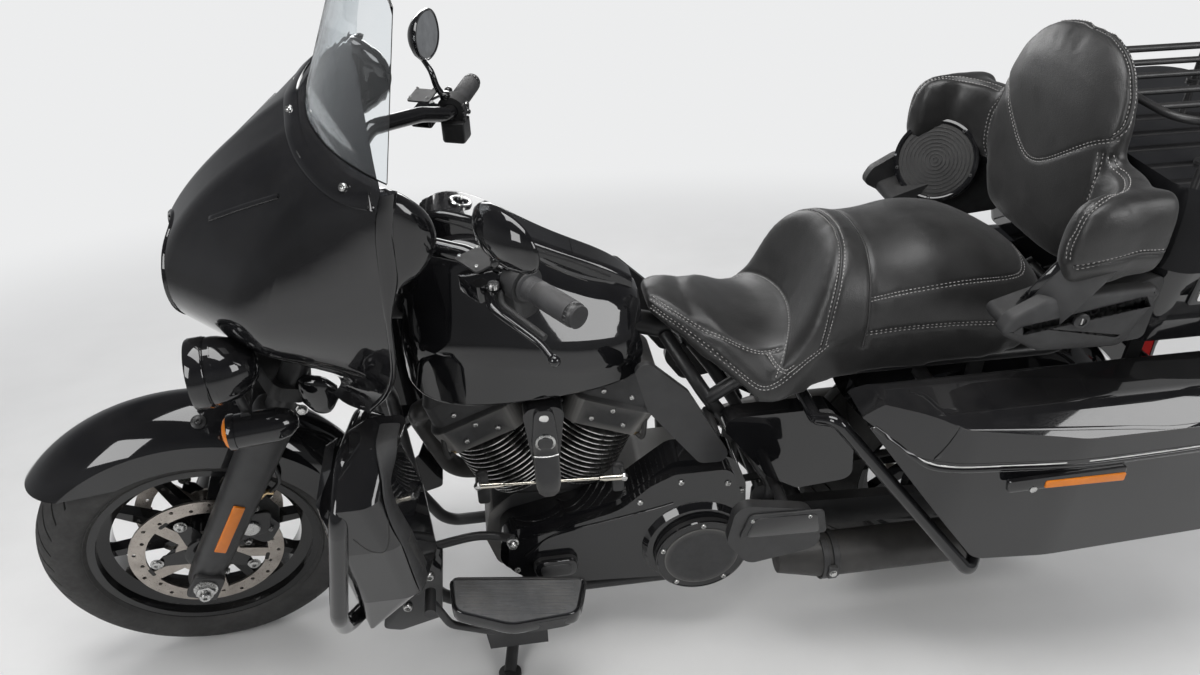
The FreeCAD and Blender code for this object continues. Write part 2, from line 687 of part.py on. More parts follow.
def make_exhaust():
    radius = size("header_radius")
    half = size("muffler_half")
    end = 446 + size("seat_gap")
    ports = []
    for s in (1, -1):
        axis = vee_axis(s)
        across = Vector(axis.z, 0, -axis.x) * s
        face = crank() + axis * (size("cylinder_top") + 30) + across * (91.8 + size("seat_gap")) - LEFT * 56
        ports.append((tuple(face), tuple(face + across * 44)))
    front = tube([ports[0][0], ports[0][1], (1170, -142, 460), (1110, -170, 270), (820, -176, 232),
                  (600, -196, 268), (520, -half, 289), (end, -half, 289)], radius, 60)
    rear = tube([ports[1][0], ports[1][1], (612, -176, 470), (596, -198, 272)], radius - 3, 40)
    crossing = tube([(540, -226, 280), (420, -160, 244), (374, -80, 226), (374, 80, 226), (390, 170, 240),
                     (430, half, 289)], radius - 3, 40).cut(muffler_can(1, size("seat_gap")))
    crossing = max(crossing.Solids, key=lambda item: item.Volume)
    feature("exhaust_pipes", fused([front, rear, crossing]), CHASSIS)
    cans = []
    for s in (1, -1):
        outlet = Part.makeCylinder(size("muffler_radius") - 12, 90, Vector(-319, half * s, 289), FORWARD * -1)
        cans.append(muffler_can(s, 0).cut(outlet))
    feature("mufflers", cans, CHASSIS)


def muffler_can(side, extra):
    """Outside of one silencer: entry cone, can and tapered tip."""
    radius = size("muffler_radius")
    back = FORWARD * -1
    start = Vector(446, size("muffler_half") * side, 289)
    cone = Part.makeCone(size("header_radius") + 5 + extra, radius + extra, 90, start + FORWARD * extra, back)
    can = Part.makeCylinder(radius + extra, 640, start + back * 90, back)
    tip = Part.makeCone(radius + extra, radius - 8 + extra, 120, start + back * 730, back)
    return fused([cone, can, tip])


def make_belt():
    y_low = size("rear_hub_half") + size("seat_gap") + 2
    width = size("pulley_width") - 8
    gap = size("running_gap")
    thick = size("belt_thickness")
    rear_centre = Vector(0, y_low, size("axle_height"))
    front_centre = Vector(size("front_pulley_forward"), y_low, size("front_pulley_height"))
    small = size("front_pulley_radius")
    large = size("pulley_radius")

    def loop(extra):
        r_big = large + extra
        r_small = small + extra
        run = front_centre - rear_centre
        lean = math.atan2(run.z, run.x)
        spread = math.acos((r_big - r_small) / run.Length)
        points = []
        for centre, radius, turn in ((rear_centre, r_big, 1), (front_centre, r_small, -1)):
            pair = []
            for sign in (1, -1):
                angle = lean + sign * spread
                pair.append(centre + Vector(math.cos(angle), 0, math.sin(angle)) * radius)
            middle = centre + Vector(-math.cos(lean), 0, -math.sin(lean)) * radius * turn
            points.append((pair, middle))
        (big, big_middle), (little, little_middle) = points
        wire = Part.Wire([Part.Arc(big[1], big_middle, big[0]).toShape(),
                          Part.LineSegment(big[0], little[0]).toShape(),
                          Part.Arc(little[0], little_middle, little[1]).toShape(),
                          Part.LineSegment(little[1], big[1]).toShape()])
        return Part.Face(wire).extrude(LEFT * width)

    belt = loop(gap + thick).cut(loop(gap))
    sprocket = Part.makeCylinder(small, width, front_centre, LEFT)
    shaft = Part.makeCylinder(16, front_centre.y - size("case_half") + 2 - size("seat_gap"),
                              Vector(front_centre.x, size("case_half") - 2 + size("seat_gap"), front_centre.z), LEFT)
    feature("drive_belt", [belt, fused([sprocket, shaft])], CHASSIS)


# Tank, seat, back rest

# Tank sections: forward, underside, crown, half width at the side, half width at the shoulder.
TANK_SECTIONS = (
    (1152, 742, 900, 0.48, 0.30),
    (1116, 704, 966, 0.80, 0.46),
    (1040, 694, 1012, 1.00, 0.54),
    (880, 691, 944, 0.97, 0.50),
    (770, 690, 886, 0.80, 0.42),
    (704, 692, 846, 0.52, 0.30),
)


def tank_outer():
    half = size("tank_half")
    wires = []
    for x, low, crown, side, shoulder in TANK_SECTIONS:
        w = half * side
        t = half * shoulder
        middle = low + 0.42 * (crown - low)
        bottom = w * 0.86
        points = [(-bottom, low, 12), (bottom, low, 12), (w, middle, 90), (t, crown - 6, 60),
                  (-t, crown - 6, 60), (-w, middle, 90)]
        wires.append(outline(points, 10, cross_at(x)))
    return loft(wires)


def console_blank():
    wires = []
    for x, base, top, w in ((1092, 930, 1036, 34), (1040, 940, 1046, 58), (930, 900, 996, 54),
                            (820, 850, 936, 44), (716, 800, 872, 30)):
        wires.append(outline([(-w, base, 4), (w, base, 4), (w * 0.86, top, 12), (-w * 0.86, top, 12)], 4, cross_at(x)))
    return loft(wires)


# Fuel door: rear and front edge, half width, underside at each edge.
DOOR_REAR, DOOR_FRONT, DOOR_HALF = 828, 936, 30
DOOR_LOW = (928, 986)


def door_block(grow, drop):
    return slab([(DOOR_REAR - grow, DOOR_LOW[0] - drop), (DOOR_FRONT + grow, DOOR_LOW[1] - drop),
                 (DOOR_FRONT + grow, 1080), (DOOR_REAR - grow, 1080)], 0, -DOOR_HALF - grow, DOOR_HALF + grow)


def make_tank():
    outer = tank_outer()
    half = size("tank_tunnel_half")
    tunnel = slab([(600, 560), (1260, 560), (1260, 886), (1112, 872), (640, 792), (600, 780)], 0, -half, half)
    console = console_blank()
    feature("fuel_tank", cut(outer, tunnel, console), CHASSIS)
    feature("tank_console", console.cut(door_block(0.8, size("panel_gap") * 2)), CHASSIS)
    feature("fuel_door", console.common(door_block(0, 0)), CHASSIS)


# Seat sections: forward, skirt height, underside at the middle, crown, half width.
SEAT_SECTIONS = (
    (672, 806, 820, 868, 58),
    (610, 744, 772, 836, 112),
    (520, 682, 700.6, 786, 176),
    (430, 656, 700.6, 776, 196),
    (345, 690, 700.6, 926, 184),
    (280, 726, 738, 940, 176),
    (160, 742, 750, 946, 182),
    (30, 752, 756, 912, 186),
    (-70, 786, 792, 868, 158),
)


def make_seat():
    wires = []
    for x, skirt, under, crown, w in SEAT_SECTIONS:
        inner = w - 34
        middle = under + 0.55 * (crown - under)
        points = [(-w, skirt, 8), (-inner, skirt, 4), (-inner, under, 4), (inner, under, 4), (inner, skirt, 4),
                  (w, skirt, 8), (w, middle, 30), (w * 0.8, crown - 36, 40), (w * 0.42, crown, 50),
                  (-w * 0.42, crown, 50), (-w * 0.8, crown - 36, 40), (-w, middle, 30)]
        wires.append(outline(points, 6, cross_at(x)))
    feature("seat", loft(wires, True), CHASSIS)


def make_backrest():
    # Pad sections: height, front, back, half width.
    pad_rows = []
    for z, front, back, w in ((890, -52, -120, 150), (962, -50, -120, 172), (1060, -56, -120, 186),
                              (1160, -66, -120, 184), (1240, -80, -120, 152), (1288, -98, -120, 88)):
        pad_rows.append(outline([(front, -w, 18), (front, w, 18), (back, w, 12), (back, -w, 12)], 12, plan_at(z)))
    block = Part.makeBox(40, 140, 36, Vector(-152, -70, 925))
    gap = size("seat_gap")
    case = case_prism(size("case_floor") - gap, size("case_seam"), -gap, CASE_TAPER)
    wings = []
    for s in (1, -1):
        route = [(-84, 130 * s), (-84, 236 * s), (-48, 296 * s), (40, 306 * s)]
        rows = [ribbon(route, half, z) for z, half in ((952, 26), (1000, 36), (1070, 36), (1112, 20))]
        wings.append(loft(rows, True))
    cans = [speaker_can(s, gap + 1) for s in (1, -1)]
    feature("backrest", cut(fused([loft(pad_rows, True), block.cut(case)] + wings), *cans), CHASSIS)


def ribbon(route, half, z):
    """Closed plan outline of a strip of even width along a route."""
    forward = []
    backward = []
    for i, point in enumerate(route):
        before = route[max(i - 1, 0)]
        after = route[min(i + 1, len(route) - 1)]
        run = Vector(after[0] - before[0], after[1] - before[1], 0).normalize()
        side = Vector(-run.y, run.x, 0) * half
        forward.append((point[0] + side.x, point[1] + side.y))
        backward.append((point[0] - side.x, point[1] - side.y))
    return outline(forward + backward[::-1], 14, plan_at(z))


# Fenders


def fender_ring(outer, skirt, half, wall, start, sweep):
    """U section turned about the axle: crown arc, shoulders and skirts of one thickness."""
    def section(radius, width, low):
        crown = radius - 26
        return [Vector(low, 0, 0) + Vector(0, -width, 0), Vector(crown - 20, -width, 0), Vector(radius, 0, 0),
                Vector(crown - 20, width, 0), Vector(low, width, 0)]

    a = section(outer, half, skirt)
    b = section(outer - wall, half - wall, skirt)
    edges = [Part.LineSegment(a[0], a[1]), Part.Arc(a[1], a[2], a[3]), Part.LineSegment(a[3], a[4]),
             Part.LineSegment(a[4], b[4]), Part.LineSegment(b[4], b[3]), Part.Arc(b[3], b[2], b[1]),
             Part.LineSegment(b[1], b[0]), Part.LineSegment(b[0], a[0])]
    face = Part.Face(Part.Wire([e.toShape() for e in edges]))
    face.rotate(Vector(0, 0, 0), LEFT, -start)
    return face.revolve(Vector(0, 0, 0), LEFT, -sweep)


def make_fenders():
    wall = size("sheet_wall")
    half = size("fork_half") - size("slider_radius") - size("seat_gap")
    front = fender_ring(size("front_fender_radius"), size("front_fender_skirt"), half, wall, 34, 132)
    trim = Part.makeBox(500, 300, 400, Vector(-118, -150, -152))
    trim.rotate(Vector(-118, 0, 248), LEFT, 1.2)
    front = front.cut(trim)
    front.translate(FRONT_AXLE)
    feature("front_fender", front, STEERED)
    rear = fender_ring(size("rear_fender_radius"), size("rear_fender_skirt"), size("rear_fender_half"),
                       wall, 34, 140)
    rear.translate(Vector(size("rear_fender_forward"), 0, size("rear_fender_height")))
    feature("rear_fender", rear, CHASSIS)


# Cases


# Saddlebag in side view: seam, the body's lower outline, the lid's upper outline (forward, height, rounding).
BAG_SEAM = ((338, 692, 4), (245, 622, 30), (-446, 638, 4))
BAG_LOW = ((-452, 590, 14), (-384, 402, 40), (96, 374, 40))
BAG_HIGH = ((-440, 690, 30), (-370, 724, 40), (296, 742, 60))
# In plan (forward, left, rounding), and the lid from behind (left, height, rounding).
BAG_PLAN = ((352, 0), (352, 274, 20), (176, 356, 200), (-40, 384, 300), (-380, 384, 60), (-452, 340, 40), (-452, 0))
BAG_CROWN = ((0, 500), (0, 698, 24), (36, 740, 50), (128, 722, 60), (190, 672, 50), (190, 500))


def bag_prism(side_points, inset, crowned):
    """What the side outline, the plan outline and, for a lid, the end outline share."""
    inner = size("bag_inner")
    plan_points = [(x, max(y, inner), *rest) for x, y, *rest in BAG_PLAN]
    views = [(Part.Face(outline(side_points, 6, side_at(0))), LEFT * 600),
             (Part.Face(outline(plan_points, 8, plan_at(0))), UP * 1200)]
    if crowned:
        end_points = [(inner + y, z, *rest) for y, z, *rest in BAG_CROWN]
        views.append((Part.Face(outline(end_points, 8, cross_at(-600))), FORWARD * 1200))
    solid = None
    for face, run in views:
        blank = (face.makeOffset2D(-inset) if inset else face).extrude(run)
        solid = blank if solid is None else solid.common(blank)
    return solid


def make_saddlebags():
    wall = size("bag_wall")
    half_gap = size("seam_gap") / 2

    def seam(shift):
        return tuple((x, z + shift, radius) for x, z, radius in BAG_SEAM)

    body_side = seam(-half_gap) + BAG_LOW
    hollow = bag_prism(body_side, wall, False)
    lift = hollow.copy()
    lift.translate(UP * (wall + 2))
    body = cut(bag_prism(body_side, 0, False), hollow, lift)
    lid_side = seam(half_gap) + BAG_HIGH
    inside = bag_prism(lid_side, wall, True)
    drop = inside.copy()
    drop.translate(UP * -(wall + 2))
    lid = cut(bag_prism(lid_side, 0, True), inside, drop)
    feature("saddlebags", both_sides(body), CHASSIS)
    feature("saddlebag_lid_left", lid, CHASSIS)
    feature("saddlebag_lid_right", mirrored(lid), CHASSIS)


# How far the top case's base narrows at its floor and at its seam, and its lid at the seam and the top.
CASE_TAPER = (57, 4)
CASE_LID_TAPER = (0, 34)


def case_prism(low, high, inset, taper):
    half = size("case_half_width") - inset
    front = size("case_front") - inset
    rear = size("case_rear") + inset
    wires = []
    for z, shrink in ((low, taper[0]), (high, taper[1])):
        f = front - shrink * 0.4
        r = rear + shrink
        w = half - shrink
        wires.append(outline([(f, -w, 50), (f, w, 50), (r + 60, w, 70), (r, w - 90, 60), (r, -w + 90, 60),
                              (r + 60, -w, 70)], 40, plan_at(z)))
    return loft(wires, True)


def make_top_case():
    wall = size("case_wall")
    low = size("case_floor")
    seam = size("case_seam")
    top = size("case_top")
    base = case_prism(low, seam, 0, CASE_TAPER)
    inner = case_prism(low + wall, seam + 1, wall, CASE_TAPER)
    feature("top_case", base.cut(inner), CHASSIS)
    gap = size("seam_gap")
    lid = case_prism(seam + gap, top, 0, CASE_LID_TAPER)
    lid_inner = case_prism(seam + gap - 1, top - wall, wall, CASE_LID_TAPER)
    feature("top_case_lid", lid.cut(lid_inner), CHASSIS)

    rod_radius = size("rack_rod_radius")
    z = size("rack_height")
    edges = path_edges([Vector(-180, -190, z), Vector(-180, 190, z), Vector(-560, 190, z), Vector(-560, -190, z)],
                       [60] * 4, True)
    first = edges[0].FirstParameter
    ring = Part.Wire(Part.makeCircle(rod_radius, edges[0].valueAt(first), edges[0].tangentAt(first)))
    solids = [Part.Wire(edges).makePipeShell([ring], True, True)]
    for y in (-110, -40, 40, 110):
        solids.append(rod(Vector(-180, y, z), Vector(-560, y, z), rod_radius - 1))
    for x in (-240, -500):
        for y in (-190, 190):
            foot = Vector(x, y, top + size("seat_gap"))
            solids.append(rod(foot, Vector(x, y, z), rod_radius))
            solids.append(Part.makeCylinder(15, 5, foot, UP))
    feature("luggage_rack", fused(solids), CHASSIS)


SPEAKER_FACE = Vector(10, 235, 945)
SPEAKER_AIM = Vector(0.56, -0.7, 0.42)


def speaker_can(side, extra):
    face = Vector(SPEAKER_FACE.x, SPEAKER_FACE.y * side, SPEAKER_FACE.z)
    aim = Vector(SPEAKER_AIM.x, SPEAKER_AIM.y * side, SPEAKER_AIM.z).normalize()
    return Part.makeCylinder(size("speaker_radius") + extra, 70 + extra, face - aim * 70, aim)


def make_speaker_pods():
    gap = size("seat_gap")
    case = case_prism(size("case_floor") - gap, size("case_seam"), -gap, CASE_TAPER)
    pods = []
    for s in (1, -1):
        low, high = sorted((214 * s, 300 * s))
        box = slab([(126, 868), (-150, 958), (-150, 826), (-60, 818), (60, 826)], 14, low, high)
        pods.append(fused([box, speaker_can(s, 0)]).cut(case))
    feature("speaker_pods", pods, CHASSIS)


# Side panels, guards, boards


def make_panels():
    gap = size("seat_gap")
    panels = []
    for s in (1, -1):
        low, high = sorted(((size("cradle_half") + size("cradle_radius") + gap) * s, 176 * s))
        panels.append(slab([(582, 632), (352, 632), (292, 560), (280, 440), (396, 428), (462, 470)], 24, low, high))
    feature("side_covers", panels, CHASSIS)
    deflectors = []
    for s in (1, -1):
        low, high = sorted((188 * s, 200 * s))
        plate = slab([(742, 788), (716, 800), (640, 724), (544, 545), (612, 548), (716, 690)], 24, low, high)
        peg = rod(Vector(580, 110 * s, 606), Vector(580, 189 * s, 606), 9)
        deflectors.append(fused([plate, peg.cut(cradle(s, size("cradle_radius") + gap))]))
    feature("air_deflectors", deflectors, CHASSIS)


def guard_route(side):
    half = size("cradle_half")
    return [(1221, 66 * side, 628), (1230, 160 * side, 716), (1244, 300 * side, 738), (1256, 388 * side, 690),
            (1298, 376 * side, 440), (1306, 326 * side, 350), (1197, half * side, 288)]


def make_guards():
    radius = size("guard_radius")
    loops = []
    for s in (1, -1):
        loop = tube(guard_route(s), radius, 60)
        loops.append(loop.cut(cradle(s, size("cradle_radius") + size("seat_gap"))))
    feature("engine_guard", loops, CHASSIS)
    rails = []
    for s in (1, -1):
        rail_low = size("seat_rail_height") - size("rail_radius") - size("seat_gap")
        rails.append(tube([(400, size("seat_rail_half") * s, rail_low), (400, size("seat_rail_half") * s, 649),
                           (398, 220 * s, 649), (370, 250 * s, 664), (100, 372 * s, 342),
                           (76, 340 * s, 356), (84, 176 * s, 356)], size("bag_guard_radius"), 20))
    feature("saddlebag_guards", rails, CHASSIS)


def lower_fairing_shape():
    sections = []
    for z, front, rear, inner, outer in ((306, 1270, 1232, 250, 300), (440, 1276, 1126, 214, 352),
                                         (600, 1286, 1134, 206, 386), (706, 1290, 1160, 214, 392),
                                         (768, 1216, 1140, 236, 320)):
        sections.append(outline([(front, inner, 16), (front, outer, 30), (rear + 30, outer, 40), (rear, inner + 20, 24),
                                 (rear + 10, inner, 10)], 10, plan_at(z)))
    return loft(sections, True)


def make_lower_fairings():
    radius = size("guard_radius")
    body = lower_fairing_shape()
    channel = tube(guard_route(1), radius + 0.6, 60)
    slot = channel.copy()
    slot.translate(Vector(14, 14, 0))
    body = body.cut(fused([channel, slot]))
    solids = sorted(body.Solids, key=lambda item: item.Volume)
    feature("lower_fairings", both_sides(solids[-1]), CHASSIS)


def make_boards():
    thick = size("board_thickness")
    rider = []
    passenger = []
    for s in (1, -1):
        plan = [(1119, 232), (1112, 320, 70), (1000, 356, 200), (866, 330, 60), (842, 232)]
        board = Part.Face(outline([(x, y * s) + tuple(rest) for x, y, *rest in plan], 16, plan_at(0))).extrude(UP * thick)
        board.rotate(Vector(980, 0, 0), LEFT, -9.5)
        board.translate(Vector(0, 0, 300))
        arm_low = size("cradle_half") + size("cradle_radius") + size("seat_gap")
        low, high = sorted((arm_low * s, 262 * s))
        shelf = slab([(1040, 150), (940, 150), (940, 168), (1040, 168)], 0, low, high)
        low, high = sorted((250 * s, 262 * s))
        post = slab([(1050, 150), (930, 150), (930, 306), (1066, 306)], 0, low, high)
        rider.append(fused([board, shelf, post]))
        plate = slab([(566, 536, 30), (420, 506, 40), (384, 402, 30), (534, 374, 30), (580, 440, 40)], 20,
                     *sorted((292 * s, 312 * s)))
        stub = rod(Vector(438, arm_low * s, 428), Vector(438, 293 * s, 428), 12)
        passenger.append(fused([plate, stub]))
    feature("footboards", rider + passenger, CHASSIS)


def make_foot_controls():
    seat = 262 + size("seat_gap")
    shift = fused([rod(Vector(1036, seat, 220), Vector(1036, seat + 20, 220), 14),
                   tube([(1036, seat + 12, 220), (1120, seat + 22, 270), (1150, seat + 24, 352)], 8, 40),
                   rod(Vector(1150, seat + 4, 352), Vector(1150, seat + 58, 352), 11)])
    pedal = fused([rod(Vector(1036, -seat, 220), Vector(1036, -seat - 20, 220), 14),
                   tube([(1036, -seat - 12, 220), (1120, -seat - 22, 270), (1150, -seat - 24, 352)], 8, 40),
                   Part.makeBox(50, 60, 12, Vector(1126, -seat - 58, 346))])
    feature("foot_controls", [shift, pedal], CHASSIS)


def make_rear_lamps():
    tail = slab([(-250, 570), (-418, 576), (-424, 640), (-250, 655)], 14, -56, 56)
    bar = rod(Vector(-368, -190, 612), Vector(-368, 190, 612), 9)
    signals = [Part.makeCylinder(30, 52, Vector(-352, 158 * s, 612), FORWARD * -1) for s in (1, -1)]
    feature("rear_lamps", fused([tail.cut(fender_tool(size("seat_gap"))), bar] + signals), CHASSIS)


# Fork, fairing, controls


def fork_line(height):
    return size("wheelbase") - (height - size("axle_height")) * math.tan(math.radians(size("fork_angle")))


def clamp_plate(height, thick):
    centre = on_steering_axis(height)
    legs = Vector(fork_line(height), 0, height)
    back = (centre - legs).Length
    half = size("fork_half")
    plate = Part.Face(outline([(-back - 34, -half - 26), (-back - 34, half + 26), (-back + 30, half + 34),
                               (30, 46), (30, -46), (-back + 30, -half - 34)], 22, plan_at(0))).extrude(UP * thick)
    plate.Placement = Placement(centre, Rotation(UP, STEER_AXIS))
    return plate


CALIPER_HALF = 24.5


def make_fork():
    lean = math.radians(size("fork_angle"))
    direction = Vector(-math.sin(lean), 0, math.cos(lean))
    solids = []
    for s in (1, -1):
        base = FRONT_AXLE + LEFT * size("fork_half") * s
        solids.append(rod(base - direction * 26, base + direction * size("slider_length"), size("slider_radius")))
        solids.append(rod(base + direction * (size("slider_length") - 10), base + direction * size("fork_length"),
                          size("fork_tube_radius")))
    low = size("head_low")
    high = size("head_high")
    thick = size("clamp_thickness")
    gap = size("seat_gap")
    rise = math.cos(RAKE)
    solids.append(clamp_plate(low - (thick + gap) * rise, thick))
    solids.append(clamp_plate(high + gap * rise, thick))
    solids.append(rod(on_steering_axis(low - 20), on_steering_axis(high + 20), size("stem_radius")))
    room = fairing_solid(size("fairing_wall") + gap)
    for s in (1, -1):
        solids.append(rod(Vector(1330, 100 * s, 938), Vector(1560, 100 * s, 1130), 8).common(room))
    solids.append(lamp_bracket(0))
    reach = size("fork_half") + size("slider_radius") + size("front_axle_overhang")
    solids.append(rod(FRONT_AXLE - LEFT * reach, FRONT_AXLE + LEFT * reach, size("axle_radius")))
    collar = size("front_hub_half") + size("rotor_thickness") + 3
    for s in (1, -1):
        solids.append(rod(FRONT_AXLE + LEFT * collar * s, FRONT_AXLE + LEFT * size("fork_half") * s, 18))
    feature("front_fork", fused(solids), STEERED)
    calipers = []
    for s in (1, -1):
        disc = (size("front_hub_half") + size("seat_gap") + size("rotor_thickness") / 2) * s
        block = slab([(1555, 470), (1500, 452), (1466, 380), (1500, 330), (1540, 372), (1572, 430)], 16,
                     disc - CALIPER_HALF, disc + CALIPER_HALF)
        slot = Part.makeCylinder(size("rotor_radius") + 4, size("rotor_thickness") + 4,
                                 FRONT_AXLE + LEFT * (disc - size("rotor_thickness") / 2 - 2), LEFT)
        calipers.append(block.cut(slot))
    feature("front_calipers", calipers, STEERED)


# Fairing plan sections: height, nose, middle, half width at the nose, at the middle, at the rear, rear edge.
FAIRING_SECTIONS = (
    (790, 1325, 1286, 90, 214, 258, 1236),
    (880, 1478, 1345, 56, 204, 294, 1190),
    (980, 1536, 1395, 84, 248, 322, 1184),
    (1080, 1486, 1366, 80, 250, 332, 1182),
    (1170, 1380, 1294, 76, 242, 332, 1178),
    (1238, 1256, 1208, 86, 242, 324, 1160),
)


def fairing_solid(inset, past_rear=0):
    """The fairing's outer form, drawn in by inset; its open rear can run past the edge to cut the inside away."""
    wires = []
    top = FAIRING_SECTIONS[-1][0]
    for z, nose, middle, nose_w, middle_w, rear_w, rear in FAIRING_SECTIONS:
        z = z - inset if z == top else z
        flare = (rear_w - middle_w) / (middle - rear)
        rear_x = rear - past_rear
        rear_y = rear_w - inset + flare * past_rear
        points = [(rear_x, -rear_y, 0), (middle, -middle_w + inset, 120), (nose - inset, -nose_w * 0.8, 80),
                  (nose - inset, nose_w * 0.8, 80), (middle, middle_w - inset, 120), (rear_x, rear_y, 0)]
        wires.append(outline(points, 0, plan_at(z)))
    return loft(wires)


def make_fairing():
    wall = size("fairing_wall")
    below = Part.makeBox(600, 2 * 186, 110, Vector(1100, -186, 780 - 20))
    shell = cut(fairing_solid(0), fairing_solid(wall, 12), below)
    radius = size("headlamp_radius")
    lamp_back = Vector(1440, 0, 982)
    lamp_hole = Part.makeCylinder(radius + size("seat_gap"), 200, lamp_back - FORWARD * 20, FORWARD)
    shell = shell.cut(lamp_hole)
    feature("outer_fairing", sorted(shell.Solids, key=lambda item: item.Volume)[-1], STEERED)
    lamp = Part.makeCylinder(radius, 62, lamp_back, FORWARD)
    bowl = Part.makeCone(radius * 0.6, radius, 40, lamp_back - FORWARD * 40, FORWARD)
    feature("headlamp", fused([lamp, bowl]), STEERED)

    gap = 0.6
    panel = slab([(1196, 900), (1210, 900), (1206, 1060), (1190, 1222), (1166, 1222), (1180, 1060)], 0, -400, 400)
    panel = panel.common(fairing_solid(wall + gap))
    slot = Part.Face(outline([(-290, 860), (290, 860), (290, 940), (150, 1046), (-150, 1046), (-290, 940)], 30,
                             cross_at(1100))).extrude(FORWARD * 200)
    panel = cut(panel, slot, *[bar_half(s, size("bar_radius") + 5) for s in (1, -1)])
    feature("inner_fairing", sorted(panel.Solids, key=lambda item: item.Volume)[-1], STEERED)


def make_windshield():
    wall = size("screen_wall")
    top = size("screen_top")
    wires = []
    foot = FAIRING_SECTIONS[-1][0] + size("seat_gap")
    for z, mid, edge_x, edge_y in ((foot, 1250, 1150, 306), (top, 1150, 1100, 232)):
        inner_mid = mid - wall
        inner_edge = edge_x - wall * 0.4
        wires.append(Part.Wire([
            Part.Arc(Vector(edge_x, -edge_y, z), Vector(mid, 0, z), Vector(edge_x, edge_y, z)).toShape(),
            Part.LineSegment(Vector(edge_x, edge_y, z), Vector(inner_edge, edge_y - wall, z)).toShape(),
            Part.Arc(Vector(inner_edge, edge_y - wall, z), Vector(inner_mid, 0, z),
                     Vector(inner_edge, -edge_y + wall, z)).toShape(),
            Part.LineSegment(Vector(inner_edge, -edge_y + wall, z), Vector(edge_x, -edge_y, z)).toShape()]))
    sheet_solid = loft(wires, True)
    front_view = Part.Face(outline([(-330, foot - 4, 4), (330, foot - 4, 4), (300, 1330, 60), (232, top - 8, 70),
                                    (0, top + 10, 900), (-232, top - 8, 70), (-300, 1330, 60)], 20,
                                   cross_at(900))).extrude(FORWARD * 600)
    feature("windshield", sheet_solid.common(front_view), STEERED)


def bar_seat():
    """Middle of the handlebar, on its risers above the upper clamp."""
    gap = size("seat_gap")
    rise = math.cos(RAKE)
    clamp_top = on_steering_axis(size("head_high") + gap * rise) + STEER_AXIS * size("clamp_thickness")
    across = Vector(math.cos(RAKE), 0, math.sin(RAKE))
    return clamp_top + STEER_AXIS * gap - across * 20


GRIP_INNER = Vector(990, 300, 1056)
GRIP_OUTER = Vector(917, 440, 1060)


def bar_half(side, radius):
    middle = bar_seat() + STEER_AXIS * 58
    inner = Vector(GRIP_INNER.x, GRIP_INNER.y * side, GRIP_INNER.z)
    outer = Vector(GRIP_OUTER.x, GRIP_OUTER.y * side, GRIP_OUTER.z)
    return tube([tuple(middle), (middle.x - 4, 72 * side, middle.z + 4), (1150, 204 * side, 1092),
                 (1050, 262 * side, 1080), tuple(inner), tuple(outer)], radius, 40)


def make_bars():
    r = size("bar_radius")
    foot = bar_seat()
    risers = [rod(foot + LEFT * 52 * s, foot + LEFT * 52 * s + STEER_AXIS * 60, 17) for s in (1, -1)]
    feature("handlebar", fused([bar_half(s, r) for s in (1, -1)] + risers), STEERED)
    grips = []
    mirrors = []
    for s in (1, -1):
        inner = Vector(GRIP_INNER.x, GRIP_INNER.y * s, GRIP_INNER.z)
        outer = Vector(GRIP_OUTER.x, GRIP_OUTER.y * s, GRIP_OUTER.z)
        run = (outer - inner).normalize()
        grip_start = inner + run * 46
        sleeve = rod(grip_start, outer + run * 4, size("grip_radius"))
        core = rod(inner + run * 10, outer + run * 1, r + size("seat_gap"))
        housing = rod(inner + run * 15, inner + run * 45.6, 30)
        housing = housing.cut(rod(inner, inner + run * 60, r + size("seat_gap")))
        lever = tube([tuple(inner + run * 30 + Vector(31, 0, -8)), tuple(inner + run * 60 + Vector(52, 0, -16)),
                      tuple(inner + run * 150 + Vector(44, 0, -34))], 6, 30)
        grips.append(sleeve.cut(core))
        grips.append(fused([housing, lever]))
        head = Vector(1008, 404 * s, 1186)
        oval = Part.makeCylinder(1, 24, Vector(0, 0, 0), FORWARD)
        oval = oval.transformGeometry(scale_matrix(1, 70, 46))
        oval.Placement = Placement(head, Rotation(UP, -24 * s))
        stalk_foot = inner + run * 30 + Vector(0, 0, 31)
        stalk = tube([tuple(stalk_foot), (1000, 330 * s, 1120), tuple(head + Vector(6, -20 * s, -20))], 5, 30)
        mirrors.append(fused([oval, stalk.cut(rod(inner, inner + run * 60, 30 + size("seat_gap")))]))
    feature("hand_controls", grips, STEERED)
    feature("mirrors", mirrors, STEERED)


def scale_matrix(x, y, z):
    matrix = FreeCAD.Matrix()
    matrix.scale(x, y, z)
    return matrix


def lamp_bracket(extra):
    """Bar across the lower clamp with an upright behind each passing lamp."""
    bar = rod(Vector(1438, -214, 794), Vector(1438, 214, 794), 9 + extra)
    posts = [rod(Vector(1438, 200 * s, 794), Vector(1446, 200 * s, 872), 8 + extra) for s in (1, -1)]
    lamps = [passing_lamp(s, size("seat_gap")) for s in (1, -1)] if not extra else []
    return cut(fused([bar] + posts), *lamps)


def passing_lamp(side, extra):
    radius = size("lamp_radius") + extra
    centre = Vector(1494, 200 * side, 891)
    shell = Part.makeCylinder(radius, 34, centre - FORWARD * 34, FORWARD)
    back = Part.makeCone(22 + extra, radius, 52, centre - FORWARD * 86, FORWARD)
    return fused([shell, back])


def make_front_lamps():
    solids = [passing_lamp(s, 0) for s in (1, -1)]
    bracket = lamp_bracket(size("seat_gap"))
    for s in (1, -1):
        solids.append(Part.makeCylinder(30, 74, Vector(1392, 214 * s, 766), FORWARD).cut(bracket))
    feature("front_lamps", solids, STEERED)


